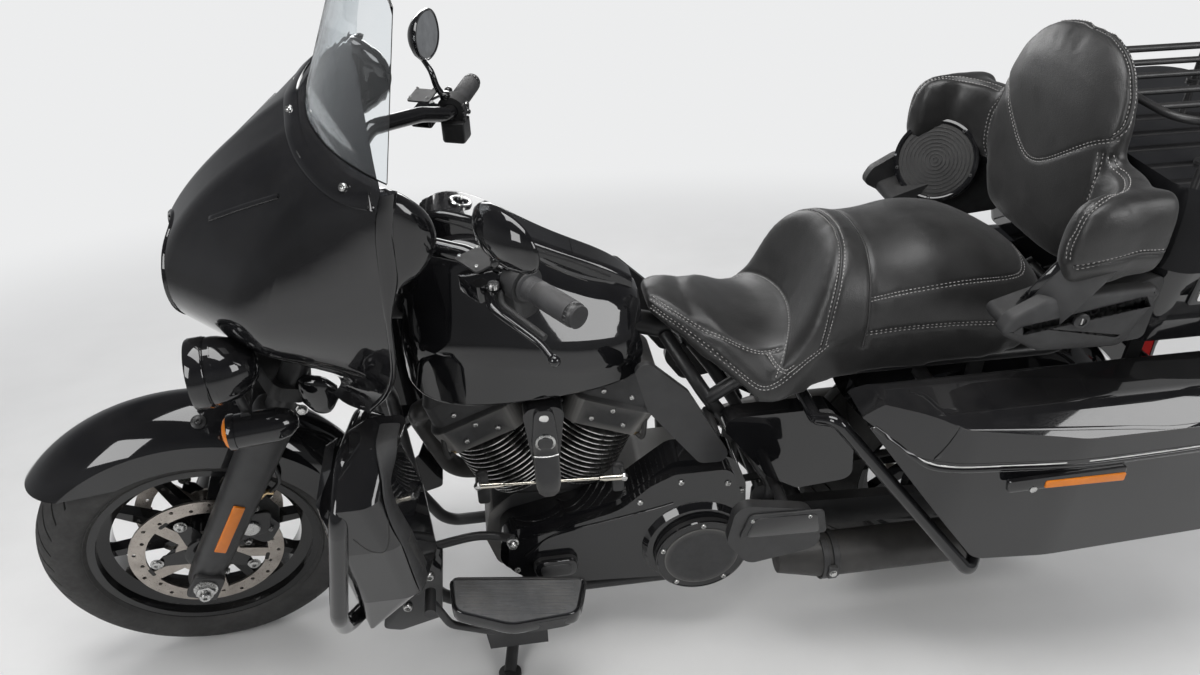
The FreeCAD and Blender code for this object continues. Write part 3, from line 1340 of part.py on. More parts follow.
for make in (make_wheels, make_frame, make_swingarm, make_side_stand, make_engine, make_exhaust, make_belt,
             make_tank, make_seat, make_backrest, make_fenders, make_saddlebags, make_top_case,
             make_speaker_pods, make_panels, make_guards, make_lower_fairings, make_boards,
             make_foot_controls, make_rear_lamps, make_fork, make_fairing, make_windshield, make_bars,
             make_front_lamps):
    make()

doc.recompute()
faults = [obj.Name for obj in doc.Objects if "Invalid" in obj.State or "Error" in obj.State]
for obj in pieces:
    if obj.Shape.isNull() or not obj.Shape.isValid():
        faults.append(obj.Label)
if faults:
    raise RuntimeError("faulty: " + ", ".join(faults))

os.makedirs("parts", exist_ok=True)
for obj in pieces:
    obj.Shape.exportStep("parts/%s.step" % obj.Label)
box = Part.makeCompound([obj.Shape for obj in pieces]).BoundBox
print(len(pieces), "pieces", box)
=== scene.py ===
import math

import bmesh
import bpy
from mathutils import Matrix, Vector
from mathutils.bvhtree import BVHTree
from mathutils.kdtree import KDTree


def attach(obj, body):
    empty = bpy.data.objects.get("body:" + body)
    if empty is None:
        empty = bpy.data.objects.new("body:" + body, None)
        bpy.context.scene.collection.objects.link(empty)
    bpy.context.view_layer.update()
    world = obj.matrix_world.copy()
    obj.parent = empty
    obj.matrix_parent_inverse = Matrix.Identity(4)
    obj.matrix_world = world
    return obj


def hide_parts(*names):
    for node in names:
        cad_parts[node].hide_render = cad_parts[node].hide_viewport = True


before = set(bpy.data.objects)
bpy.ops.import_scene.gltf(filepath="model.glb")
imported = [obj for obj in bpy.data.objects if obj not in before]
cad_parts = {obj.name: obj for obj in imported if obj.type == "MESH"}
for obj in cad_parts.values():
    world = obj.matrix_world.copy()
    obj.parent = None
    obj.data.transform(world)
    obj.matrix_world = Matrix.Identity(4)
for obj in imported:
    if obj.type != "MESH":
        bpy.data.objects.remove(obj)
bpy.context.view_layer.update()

# Places

# The pieces are drawn in millimetres on the upright bike: X forward from the rear
# axle, Y to the left, Z up. CHASSIS and STEERED lean it on its stand and turn its fork.

CHASSIS = Matrix(((0.99999515, -0.00064744, 0.00304595, -670.0),
                  (0.0, 0.9781476, 0.20791169, -195.0),
                  (-0.003114, -0.20791068, 0.97814286, 1.96828283),
                  (0.0, 0.0, 0.0, 1.0)))
STEERED = Matrix(((0.98994366, -0.14145003, -0.00185649, -651.95756601),
                  (0.13652132, 0.95184715, 0.27449759, -440.05576271),
                  (-0.03706059, -0.27199059, 0.961586, 62.90242434),
                  (0.0, 0.0, 0.0, 1.0)))
METRES = Matrix.Scale(0.001, 4)
FORWARD, LEFT, UP = Vector((1, 0, 0)), Vector((0, 1, 0)), Vector((0, 0, 1))
SIDES = (1, -1)


def flip(points, side):
    """The same points on the other side of the bike where side is -1."""
    return [Vector((p[0], p[1] * side, p[2])) for p in points]


# Materials

def blank(name):
    """A new material with its node tree and shader."""
    m = bpy.data.materials.new(name)
    m.use_nodes = True
    return m, m.node_tree, m.node_tree.nodes["Principled BSDF"]


def feed(tree, n, inputs):
    """Links the sockets and sets the plain values on a node's inputs."""
    for key, value in inputs.items():
        if isinstance(value, bpy.types.NodeSocket):
            tree.links.new(value, n.inputs[key])
        else:
            n.inputs[key].default_value = value


def node(tree, kind, inputs, **settings):
    """A new shader node with its inputs fed."""
    n = tree.nodes.new("ShaderNode" + kind)
    for key, value in settings.items():
        setattr(n, key, value)
    feed(tree, n, inputs)
    return n


def place_of(tree):
    return node(tree, "TexCoord", {}).outputs["Object"]


def speckle(tree, scale, detail=4.0, rough=0.6, where=None):
    """Noise from 0 to 1 that is fixed to the object."""
    return node(tree, "TexNoise", {"Vector": where or place_of(tree), "Scale": scale, "Detail": detail,
        "Roughness": rough}).outputs["Fac"]


def spread(tree, value, low, high, start=0.3, stop=0.7):
    """The value from start to stop mapped onto low to high."""
    return node(tree, "MapRange", {"Value": value, "From Min": start, "From Max": stop, "To Min": low,
        "To Max": high}).outputs["Result"]


def two_tone(tree, fac, a, b, start=0.3, stop=0.7):
    """A colour that goes from a to b."""
    ramp = node(tree, "ValToRGB", {"Fac": fac})
    ramp.color_ramp.elements[0].position = start
    ramp.color_ramp.elements[1].position = stop
    ramp.color_ramp.elements[0].color = (*a, 1)
    ramp.color_ramp.elements[1].color = (*b, 1)
    return ramp.outputs["Color"]


def mixed(tree, fac, a, b):
    tones = [t if isinstance(t, bpy.types.NodeSocket) else (*t, 1) for t in (a, b)]
    return node(tree, "Mix", {0: fac, 6: tones[0], 7: tones[1]}, data_type="RGBA").outputs[2]


def math_node(tree, operation, a, b):
    return node(tree, "Math", {0: a, 1: b}, operation=operation).outputs[0]


def raise_surface(tree, shader, height, distance, strength=1.0):
    """Bumps the shader's surface."""
    bump = node(tree, "Bump", {"Height": height, "Distance": distance, "Strength": strength})
    feed(tree, shader, {"Normal": bump.outputs["Normal"]})


def settled_dust(tree, amount, scale=14.0):
    """0 to amount, on what faces the sky, broken up by noise."""
    normal = node(tree, "NewGeometry", {}).outputs["Normal"]
    up = node(tree, "SeparateXYZ", {"Vector": normal}).outputs["Z"]
    lying = spread(tree, up, 0.0, 1.0, 0.25, 0.95)
    return math_node(tree, "MULTIPLY", lying, spread(tree, speckle(tree, scale, 6.0, 0.7), 0.0, amount))


def paint(name, colour, rough=(0.05, 0.1), coat=1.0, dust=0.025):
    """Deep gloss lacquer with faint orange peel and a little settled dust."""
    m, tree, s = blank(name)
    clean = two_tone(tree, speckle(tree, 9.0), colour, [c * 1.6 + 0.001 for c in colour])
    film = settled_dust(tree, dust)
    haze = math_node(tree, "ADD", spread(tree, speckle(tree, 30.0), *rough), film)
    feed(tree, s, {"Base Color": mixed(tree, film, clean, (0.2, 0.185, 0.165)), "Roughness": haze,
        "Coat Weight": coat, "Coat Roughness": 0.02, "Specular IOR Level": 0.12})
    raise_surface(tree, s, speckle(tree, 260.0, 1.0), 0.00003)
    return m


def coated(name, colour, rough=(0.34, 0.46), metal=0.0, grain=900.0, depth=0.00012, edge_wear_and_highlight=0.0):
    """Satin or crackle coat over metal; its last figure lightens sharp edges to grey, partly as bare metal
    worn through and partly as a painted edge highlight.
    """
    m, tree, s = blank(name)
    base = two_tone(tree, speckle(tree, 22.0), colour, [c * 1.5 + 0.004 for c in colour])
    if edge_wear_and_highlight:
        # Pointiness lightens sharp edges to grey: partly bare metal worn through, partly a painted edge
        # highlight.
        edge = spread(tree, node(tree, "NewGeometry", {}).outputs["Pointiness"], 0.0, edge_wear_and_highlight, 0.52, 0.62)
        base = mixed(tree, edge, base, (0.33, 0.32, 0.3))
    feed(tree, s, {"Base Color": mixed(tree, settled_dust(tree, 0.06), base, (0.21, 0.19, 0.165)),
        "Roughness": spread(tree, speckle(tree, 60.0), *rough), "Metallic": metal})
    raise_surface(tree, s, speckle(tree, grain, 2.0), depth)
    return m


def bare_metal(name, colour, rough):
    """Polished or plated metal with fine marks and faint stains."""
    m, tree, s = blank(name)
    marks = speckle(tree, 400.0, 3.0, 0.6)
    stain = two_tone(tree, speckle(tree, 35.0, 5.0), [c * 0.72 for c in colour], colour)
    feed(tree, s, {"Base Color": stain, "Roughness": spread(tree, marks, *rough), "Metallic": 1.0})
    raise_surface(tree, s, marks, 0.00004)
    return m


def rubber(name, colour, rough=(0.6, 0.78), grain=700.0, depth=0.0002, dust=0.12):
    """Dull rubber, print or thread with a fine grain and settled dust."""
    m, tree, s = blank(name)
    base = two_tone(tree, speckle(tree, 18.0, 6.0, 0.7), colour, [c * 1.7 + 0.004 for c in colour])
    feed(tree, s, {"Base Color": mixed(tree, settled_dust(tree, dust), base, (0.2, 0.18, 0.155)),
        "Roughness": spread(tree, speckle(tree, 90.0), *rough), "Specular IOR Level": 0.35})
    raise_surface(tree, s, speckle(tree, grain, 3.0), depth)
    return m


def leather(name, colour):
    """Embossed cowhide grain: small pebbles with fine creases between, and a soft sheen."""
    m, tree, s = blank(name)
    where = place_of(tree)
    pebbles = node(tree, "TexVoronoi", {"Vector": where, "Scale": 620.0}, feature="F1").outputs["Distance"]
    creases = speckle(tree, 210.0, 4.0, 0.65, where)
    height = math_node(tree, "ADD", pebbles, math_node(tree, "MULTIPLY", creases, 1.4))
    base = two_tone(tree, speckle(tree, 16.0, 5.0), colour, [c * 1.8 + 0.003 for c in colour])
    scuffed = mixed(tree, settled_dust(tree, 0.035, 8.0), base, (0.16, 0.15, 0.14))
    feed(tree, s, {"Base Color": scuffed, "Roughness": spread(tree, speckle(tree, 24.0, 4.0), 0.34, 0.47),
        "Sheen Weight": 0.12, "Sheen Roughness": 0.4, "Specular IOR Level": 0.55})
    raise_surface(tree, s, height, 0.00035, 0.55)
    return m


def lens(name, colour, rough, lines, transmission=0.85):
    """Clear or coloured moulded plastic; lines are fine ribs inside it, a scale and an axis."""
    m, tree, s = blank(name)
    tone = two_tone(tree, speckle(tree, 40.0), [c * 0.85 for c in colour], colour)
    feed(tree, s, {"Base Color": tone, "Roughness": spread(tree, speckle(tree, 50.0), rough * 0.7,
        rough * 1.6), "Transmission Weight": transmission, "IOR": 1.46})
    if lines:
        scale, axis = lines
        wave = node(tree, "TexWave", {"Vector": place_of(tree), "Scale": scale, "Distortion": 0.0},
            bands_direction=axis)
        raise_surface(tree, s, wave.outputs["Fac"], 0.0012, 0.7)
    return m


def clear_screen(name):
    """Thin clear acrylic with a faint tint and light scuffs."""
    m, tree, s = blank(name)
    tone = two_tone(tree, speckle(tree, 6.0), (0.86, 0.9, 0.92), (0.93, 0.955, 0.97))
    feed(tree, s, {"Base Color": tone, "Roughness": spread(tree, speckle(tree, 12.0, 5.0), 0.0, 0.035),
        "Transmission Weight": 1.0, "IOR": 1.3})
    return m


BLACK = (0.0045, 0.0045, 0.005)
gloss_black = paint("gloss black lacquer", BLACK)
gloss_shell = paint("gloss black moulding", (0.005, 0.005, 0.0055), (0.06, 0.13), 1.0, 0.035)
satin_black = coated("satin black powder coat", (0.011, 0.011, 0.0115))
# The last figure lightens sharp edges to grey: partly wear, partly a painted edge highlight.
crackle = coated("black crackle coat", (0.013, 0.013, 0.0135), (0.4, 0.56), 0.0, 1500.0, 0.0003, 0.5)
exhaust = coated("exhaust heat coat", (0.02, 0.019, 0.018), (0.38, 0.55), 0.2, 500.0, 0.0001)
moulded = coated("grained black plastic", (0.016, 0.016, 0.0165), (0.5, 0.66), 0.0, 1700.0, 0.00025)
cast_gloss = paint("gloss black casting", (0.006, 0.006, 0.0062), (0.1, 0.2), 0.8, 0.05)
tyre_black = rubber("tyre rubber", (0.02, 0.0195, 0.019))
belt_black = rubber("belt rubber", (0.012, 0.012, 0.012), (0.55, 0.7), 1200.0, 0.0003, 0.12)
grip_rubber = rubber("grip rubber", (0.026, 0.026, 0.027), (0.5, 0.66), 1500.0, 0.0002, 0.1)
mat_rubber = rubber("footboard rubber", (0.05, 0.051, 0.053), (0.58, 0.74), 1200.0, 0.0002, 0.25)
hide = leather("black leather", (0.0085, 0.0083, 0.0082))
steel = bare_metal("zinc plated steel", (0.56, 0.56, 0.55), (0.2, 0.36))
rotor_steel = bare_metal("ground rotor steel", (0.47, 0.43, 0.39), (0.24, 0.4))
chrome = bare_metal("chrome", (0.78, 0.78, 0.77), (0.04, 0.1))
brass = bare_metal("yellow passivated steel", (0.62, 0.47, 0.27), (0.22, 0.38))
nickel = bare_metal("nickel plated steel", (0.74, 0.7, 0.61), (0.16, 0.3))
fin_edge = bare_metal("machined aluminium", (0.74, 0.74, 0.73), (0.2, 0.34))
amber = lens("amber lens", (0.9, 0.26, 0.02), 0.06, None, 0.35)
red_lens = lens("red lens", (0.75, 0.012, 0.01), 0.05, (140.0, "X"), 0.45)
clear_lens = lens("clear lens", (0.92, 0.94, 0.95), 0.02, (150.0, "Y"))
screen = clear_screen("clear acrylic")
mirror = bare_metal("mirror glass", (0.8, 0.82, 0.84), (0.0, 0.02))
display = paint("display glass", (0.008, 0.009, 0.011), (0.03, 0.06), 1.0, 0.05)
thread_grey = rubber("sewing thread", (0.2, 0.195, 0.19), (0.5, 0.7), 1500.0, 0.0001, 0.02)
dial_white = coated("dial print", (0.55, 0.55, 0.53), (0.4, 0.5), 0.0, 900.0, 0.00002)


# The finish of each CAD node.
FINISH = {
    gloss_black: ("air_cleaner", "engine_guard", "front_fender", "front_lamps", "fuel_door", "fuel_tank",
                  "horn_cover", "primary_cover", "rear_fender", "rear_lamps", "saddlebag_guards"),
    gloss_shell: ("lower_fairings", "outer_fairing", "saddlebags", "saddlebag_lid_left",
                  "saddlebag_lid_right", "side_covers", "top_case", "top_case_lid", "mirrors",
                  "handlebar", "tank_console"),
    satin_black: ("foot_controls", "footboards", "frame", "front_calipers", "front_fork", "shock_absorbers",
                  "side_stand", "swingarm", "luggage_rack", "air_deflectors", "primary_access_covers"),
    crackle: ("cylinders", "engine_case", "rocker_covers", "timing_cover"),
    exhaust: ("exhaust_pipes", "mufflers"),
    moulded: ("hand_controls", "inner_fairing", "speaker_pods"),
    cast_gloss: ("front_wheel", "rear_wheel", "drive_pulley"),
    tyre_black: ("front_tyre", "rear_tyre"),
    rotor_steel: ("front_rotors", "rear_rotor"),
    belt_black: ("drive_belt",),
    hide: ("seat", "backrest"),
    clear_lens: ("headlamp",),
    screen: ("windshield",),
}
for finish, names in FINISH.items():
    for name in names:
        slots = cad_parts[name].data.materials
        slots.clear()
        slots.append(finish)

# Camera, light and floor

# The photo's viewpoint in metres, its angles, and its focal length as a share of the width.
CAMERA = Vector((0.305, 1.619, 1.404))
YAW, PITCH, ROLL = (math.radians(a) for a in (-6.76, 22.52, -2.5))
FOCAL_SHARE = 913 / 1200


def make_camera():
    """The photo's camera."""
    ahead = Vector((math.sin(YAW) * math.cos(PITCH), -math.cos(YAW) * math.cos(PITCH), -math.sin(PITCH)))
    right = Vector((-math.cos(YAW), -math.sin(YAW), 0))
    up = right.cross(ahead)
    turned = math.cos(ROLL) * right + math.sin(ROLL) * up
    top = math.cos(ROLL) * up - math.sin(ROLL) * right
    data = bpy.data.cameras.new("camera")
    data.sensor_width = 36
    data.lens = 36 * FOCAL_SHARE
    data.clip_start = 0.02
    obj = bpy.data.objects.new("camera", data)
    obj.matrix_world = Matrix.Translation(CAMERA) @ Matrix((turned, top, -ahead)).transposed().to_4x4()
    bpy.context.collection.objects.link(obj)
    bpy.context.scene.camera = obj


def softbox(name, at, look_at, width, height, watts):
    """A rectangular area light aimed at a point."""
    data = bpy.data.lights.new(name, "AREA")
    data.shape = "RECTANGLE"
    data.size = width
    data.size_y = height
    data.energy = watts
    obj = bpy.data.objects.new(name, data)
    obj.location = at
    obj.rotation_euler = (Vector(look_at) - Vector(at)).to_track_quat("-Z", "Y").to_euler()
    bpy.context.collection.objects.link(obj)


def seen_by_eye(tree):
    """1 for rays from the camera and on through glass, else 0."""
    path = node(tree, "LightPath", {})
    return math_node(tree, "MAXIMUM", path.outputs["Is Camera Ray"], path.outputs["Is Transmission Ray"])


def make_studio():
    """A pale room, a floor that fades into it, and four soft boxes."""
    world = bpy.data.worlds.new("studio")
    bpy.context.scene.world = world
    world.use_nodes = True
    tree = world.node_tree
    high = node(tree, "SeparateXYZ", {"Vector": node(tree, "TexCoord",
        {}).outputs["Generated"]}).outputs["Z"]
    room = two_tone(tree, high, (0.84, 0.845, 0.85), (0.1, 0.105, 0.115), 0.14, 0.6)
    gloss = two_tone(tree, high, (0.2, 0.203, 0.208), (0.045, 0.047, 0.052), 0.1, 0.5)
    glossy_ray = node(tree, "LightPath", {}).outputs["Is Glossy Ray"]
    lit = mixed(tree, glossy_ray, (0.42, 0.43, 0.45), gloss)
    feed(tree, tree.nodes["Background"], {"Color": mixed(tree, seen_by_eye(tree), lit, room),
        "Strength": 1.0})
    bm = bmesh.new()
    bmesh.ops.create_grid(bm, x_segments=1, y_segments=1, size=14)
    mesh = bpy.data.meshes.new("floor")
    bm.to_mesh(mesh)
    floor = bpy.data.objects.new("floor", mesh)
    bpy.context.collection.objects.link(floor)
    m, tree, s = blank("pale floor")
    tone = two_tone(tree, speckle(tree, 3.0), (0.62, 0.615, 0.605), (0.66, 0.655, 0.645))
    feed(tree, s, {"Base Color": tone, "Roughness": spread(tree, speckle(tree, 9.0), 0.55, 0.7)})
    far = node(tree, "VectorMath", {0: place_of(tree)}, operation="LENGTH").outputs["Value"]
    fade = node(tree, "MapRange", {"Value": far, "From Min": 1.6, "From Max": 5.0},
        interpolation_type="SMOOTHSTEP")
    shine = node(tree, "MapRange", {"Value": seen_by_eye(tree), "To Min": 0.22,
        "To Max": 1.0}).outputs["Result"]
    glow = node(tree, "Emission", {"Color": (0.84, 0.845, 0.85, 1), "Strength": shine})
    blend = node(tree, "MixShader", {0: fade.outputs["Result"], 1: s.outputs[0], 2: glow.outputs[0]})
    feed(tree, tree.nodes["Material Output"], {"Surface": blend.outputs[0]})
    mesh.materials.append(m)
    softbox("overhead", (0.3, 0.5, 3.4), (0, 0, 0.6), 2.6, 1.5, 85)
    softbox("left front", (2.6, 2.6, 2.2), (0.2, 0, 0.6), 1.5, 1.8, 60)
    softbox("left rear", (-2.6, 2.4, 1.9), (-0.2, 0, 0.6), 1.3, 1.6, 45)
    softbox("far side", (0.2, -3.2, 2.4), (0, 0, 0.6), 2.4, 1.4, 45)


make_camera()
make_studio()

# Forms

def smooth_path(points, steps):
    """Points along a smooth curve through the given ones."""
    pts = [Vector(p) for p in points]
    ends = [2 * pts[0] - pts[1]] + pts + [2 * pts[-1] - pts[-2]]
    run = []
    for i in range(1, len(ends) - 2):
        a, b, c, d = ends[i - 1:i + 3]
        for k in range(steps):
            t = k / steps
            run.append(0.5 * (2 * b + (c - a) * t + (2 * a - 5 * b + 4 * c - d) * t * t
                + (3 * b - a - 3 * c + d) * t ** 3))
    return run + [pts[-1]]


def rounded(points, steps=5):
    """A closed 2-D outline, (u, v, corner radius) each, with its corners rounded."""
    out = []
    count = len(points)
    for i in range(count):
        u, v, radius = points[i]
        here = Vector((u, v))
        back = Vector(points[i - 1][:2]) - here
        on = Vector(points[(i + 1) % count][:2]) - here
        if radius <= 0:
            out.append(here)
            continue
        angle = back.angle(on)
        cut = min(radius / math.tan(angle / 2), back.length * 0.48, on.length * 0.48)
        a = here + back.normalized() * cut
        b = here + on.normalized() * cut
        for k in range(steps + 1):
            t = k / steps
            out.append((1 - t) ** 2 * a + 2 * t * (1 - t) * here + t * t * b)
    return out


def offset_outline(points, by):
    """The outline moved inward by so much, along each corner's middle line."""
    area = sum(a.x * b.y - b.x * a.y for a, b in zip(points, points[1:] + points[:1]))
    turn = 1 if area > 0 else -1
    out = []
    for i, here in enumerate(points):
        a = (here - points[i - 1])
        b = (points[(i + 1) % len(points)] - here)
        if a.length < 1e-6 or b.length < 1e-6:
            out.append(here.copy())
            continue
        a.normalize()
        b.normalize()
        normal = Vector((-(a.y + b.y), a.x + b.x)) * turn
        if normal.length < 1e-6:
            out.append(here.copy())
            continue
        normal.normalize()
        share = max(normal.dot(Vector((-a.y, a.x)) * turn), 0.5)
        out.append(here + normal * by / share)
    return out


def across_of(along):
    """Two directions square to this one and to each other."""
    along = Vector(along).normalized()
    side = UP if abs(along.z) < 0.8 else FORWARD
    u = along.cross(side).normalized()
    return u, along.cross(u).normalized()


def power(value, exponent):
    """The power of the value's size, with its sign kept."""
    return math.copysign(abs(value) ** exponent, value)


def turns(count):
    """The angles of so many equal steps round a circle."""
    return [2 * math.pi * k / count for k in range(count)]


def oval(centre, u, v, count, square, tall=None):
    """A ring round centre with half widths u and v, an ellipse at 1 and squarer below it."""
    return [centre + u * power(math.cos(a), square) + v * power(math.sin(a), tall or square)
        for a in turns(count)]


def taper(foot, top):
    """A plate's outline from its foot to its top: half width, height and corner radius of each."""
    return [(-foot[0], *foot[1:]), foot, top, (-top[0], *top[1:])]


def block(u, v, radius):
    """The outline of a rounded rectangle with these half widths."""
    return taper((u, -v, radius), (u, v, radius))


class Piece:
    """One named piece, gathered from several forms drawn in bike millimetres."""

    def __init__(self, name, material, place=CHASSIS, body="chassis"):
        self.name, self.place, self.body = name, place, body
        self.points, self.faces, self.tones, self.tone = [], [], [], 0
        self.materials = [material]

    def use(self, material):
        """The forms that follow are finished in this material."""
        if material not in self.materials:
            self.materials.append(material)
        self.tone = self.materials.index(material)
        return self

    def add(self, points, faces):
        base = len(self.points)
        self.points += [Vector(p) for p in points]
        self.faces += [tuple(base + i for i in f) for f in faces]
        self.tones += [self.tone] * len(faces)

    def rings(self, rings, capped=True, closed=False):
        """A skin over rings of equal count; closed joins the last ring to the first."""
        count = len(rings[0])
        points = [p for ring in rings for p in ring]
        faces = []
        for i in range(len(rings) if closed else len(rings) - 1):
            a = i * count
            b = ((i + 1) % len(rings)) * count
            faces += [(a + k, a + (k + 1) % count, b + (k + 1) % count, b + k) for k in range(count)]
        if capped and not closed:
            faces += [tuple(range(count))[::-1], tuple(range(len(points) - count, len(points)))]
        self.add(points, faces)

    def lathe(self, profile, at, along, steps=32, closed=False):
        """A turned form: (radius, height) pairs about an axis."""
        along = Vector(along).normalized()
        u, v = across_of(along)
        rings = []
        for radius, height in profile:
            rings.append([Vector(at) + along * height + (u * math.cos(a) + v * math.sin(a)) * max(radius,
                0.01) for a in turns(steps)])
        self.rings(rings, not closed, closed)

    def tube(self, path, radius, steps=12, smooth=6, flat=1.0):
        """A round or flattened run along a smooth path; radius is one figure or one a point."""
        run = smooth_path(path, smooth)
        radii = radius if isinstance(radius, (list, tuple)) else [radius] * len(path)
        rings = []
        side = None
        for i, here in enumerate(run):
            along = (run[min(i + 1, len(run) - 1)] - run[max(i - 1, 0)]).normalized()
            if side is None:
                side = across_of(along)[0]
            side = (side - along * side.dot(along)).normalized()
            other = along.cross(side)
            t = i / smooth
            j = min(int(t), len(radii) - 2)
            r = radii[j] + (radii[j + 1] - radii[j]) * (t - j)
            rings.append([here + (side * math.cos(a) + other * math.sin(a) * flat) * r
                for a in turns(steps)])
        self.rings(rings)

    def plate(self, outline, at, u, v, thick, edge=1.5, steps=5, crown=0.0):
        """A plate with a softened rim: its outline in u and v, raised along u x v."""
        flat = rounded(outline, steps)
        u, v = Vector(u).normalized(), Vector(v).normalized()
        rise = u.cross(v)
        at = Vector(at)
        rows = [(0, 0), (0, thick - edge), (edge * 0.3, thick - edge * 0.3), (edge, thick)]
        if crown:
            rows += [(edge + 8 * k, thick + crown * (1 - (1 - k / 3) ** 2)) for k in (1, 2, 3)]
        rings = [[at + u * p.x + v * p.y + rise * h for p in offset_outline(flat, inset)]
            for inset, h in rows]
        self.rings(rings)

    def bolt(self, at, along, radius, height=None, kind="button"):
        """A screw head with its washer: a domed socket head or a hexagon."""
        height = height or radius * 0.7
        if kind == "hex":
            self.lathe([(radius * 1.35, 0), (radius * 1.35, height * 0.2), (0, height * 0.2)], at,
                along, 20)
            self.lathe([(radius * 1.1, 0), (radius * 1.1, height * 0.9), (radius * 0.9, height),
                (0, height)], at, along, 6)
            return
        well = radius * 0.5
        self.lathe([(radius, 0), (radius, height * 0.45), (radius * 0.86, height * 0.85),
            (radius * 0.6, height), (well, height), (well * 0.96, height * 0.4), (0, height * 0.35)],
            at, along, 18)

    def side_plate(self, outline, at, side, thick, *edge):
        """A plate that faces out to one side of the bike, its outline given forward and up."""
        self.plate([(-u * side, v, r) for u, v, r in outline][::-side], at, FORWARD * -side, UP,
            thick, *edge)

    def done(self, sharp):
        """Makes the mesh in its place, with edges above this angle in degrees kept sharp."""
        mesh = bpy.data.meshes.new(self.name)
        mesh.from_pydata([METRES @ (self.place @ p) for p in self.points], [], self.faces)
        mesh.polygons.foreach_set("material_index", self.tones)
        bm = bmesh.new()
        bm.from_mesh(mesh)
        bmesh.ops.remove_doubles(bm, verts=bm.verts, dist=1e-6)
        bmesh.ops.dissolve_degenerate(bm, edges=bm.edges, dist=1e-7)
        bmesh.ops.recalc_face_normals(bm, faces=bm.faces)
        bm.to_mesh(mesh)
        bm.free()
        for m in self.materials:
            mesh.materials.append(m)
        mesh.polygons.foreach_set("use_smooth", [True] * len(mesh.polygons))
        mesh.set_sharp_from_angle(angle=math.radians(sharp))
        obj = bpy.data.objects.new(self.name, mesh)
        bpy.context.collection.objects.link(obj)
        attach(obj, self.body)
        return obj


def steered(name, material):
    """A piece that turns with the fork."""
    return Piece(name, material, STEERED, "steering")


# Seat and backrest

def curve_at(table, x):
    """Smooth figure at x through a table of (x, figure), x falling."""
    rows = [table[0]] + list(table) + [table[-1]]
    for i in range(1, len(rows) - 2):
        a, b, c, d = rows[i - 1:i + 3]
        if x >= c[0] or i == len(rows) - 3:
            t = min(max((b[0] - x) / (b[0] - c[0]), 0), 1)
            return 0.5 * (2 * b[1] + (c[1] - a[1]) * t + (2 * a[1] - 5 * b[1] + 4 * c[1] - d[1]) * t * t
                + (3 * b[1] - a[1] - 3 * c[1] + d[1]) * t ** 3)


def smoothstep(value, low, high):
    """0 below low, 1 above high, with a soft rise between."""
    t = min(max((value - low) / (high - low), 0), 1)
    return t * t * (3 - 2 * t)


class Cushion(Piece):
    """A stuffed form: its forms are melted together, blown up a little as cloth, then seamed."""

    def stuffed(self, voxel, swell, pressure=4.0, fill=0.6):
        obj = self.done(sharp=180)
        m = obj.modifiers.new("melt", "REMESH")
        m.mode = "VOXEL"
        m.voxel_size = voxel * 0.001
        m.use_smooth_shade = True
        self.bake(obj)
        m = obj.modifiers.new("even", "SMOOTH")
        m.factor = 0.6
        m.iterations = 8
        self.bake(obj)
        self.blow(obj, swell * 0.001, pressure)
        m = obj.modifiers.new("fine", "SUBSURF")
        m.levels = m.render_levels = 1
        self.bake(obj)
        obj.data.polygons.foreach_set("use_smooth", [True] * len(obj.data.polygons))
        return obj

    @staticmethod
    def bake(obj):
        whole = bpy.data.meshes.new_from_object(obj.evaluated_get(bpy.context.evaluated_depsgraph_get()))
        obj.modifiers.clear()
        obj.data = whole

    @staticmethod
    def blow(obj, most, pressure):
        """Cloth under air pressure, with how far a point may move held to most."""
        scene = bpy.context.scene
        start = [v.co.copy() for v in obj.data.vertices]
        cloth = obj.modifiers.new("cloth", "CLOTH")
        cloth.settings.use_pressure = True
        cloth.settings.uniform_pressure_force = pressure
        cloth.settings.effector_weights.gravity = 0
        cloth.settings.quality = 4
        cloth.point_cache.frame_start = 1
        cloth.point_cache.frame_end = 20
        for number in range(1, 21):
            scene.frame_set(number)
        blown = bpy.data.meshes.new_from_object(obj.evaluated_get(bpy.context.evaluated_depsgraph_get()))
        obj.modifiers.clear()
        for before, v in zip(start, blown.vertices):
            step = v.co - before
            if step.length > most:
                v.co = before + step * (most / step.length)
        obj.data = blown
        scene.frame_set(1)


def surface_of(obj, place=CHASSIS):
    """A search tree over the piece in bike millimetres."""
    back = place.inverted() @ METRES.inverted()
    points = [back @ v.co for v in obj.data.vertices]
    return BVHTree.FromPolygons(points, [tuple(f.vertices) for f in obj.data.polygons])


def laid_on(tree, path, steps=10, calm=5):
    """The smooth path dropped onto the nearest skin: (point, outward normal) each."""
    out = [tree.find_nearest(p)[:2] for p in smooth_path(path, steps)]
    for turn in range(calm):
        out = [out[0]] + [((a[0] + 2 * b[0] + c[0]) / 4, (a[1] + 2 * b[1] + c[1]).normalized())
            for a, b, c in zip(out, out[1:], out[2:])] + [out[-1]]
        if turn > 5 and turn % 10 == 0:
            out = [(tree.find_nearest(at)[0], normal) for at, normal in out]
    return out


def press_seams(obj, paths, depth, width=11.0):
    """Draws the skin in along sewn lines."""
    tree = surface_of(obj)
    marks = [at for path in paths for at, _ in laid_on(tree, path, 14, 40)]
    lines = KDTree(len(marks))
    for i, at in enumerate(marks):
        lines.insert(at, i)
    lines.balance()
    back = CHASSIS.inverted() @ METRES.inverted()
    moves = []
    for v in obj.data.vertices:
        gap = lines.find(back @ v.co)[2]
        moves.append(depth * 0.001 * math.exp(-(gap / width * 2.2) ** 2) if gap < width else 0)
    for v, move, normal in zip(obj.data.vertices, moves, [v.normal.copy() for v in obj.data.vertices]):
        v.co -= normal * move
    obj.data.update()


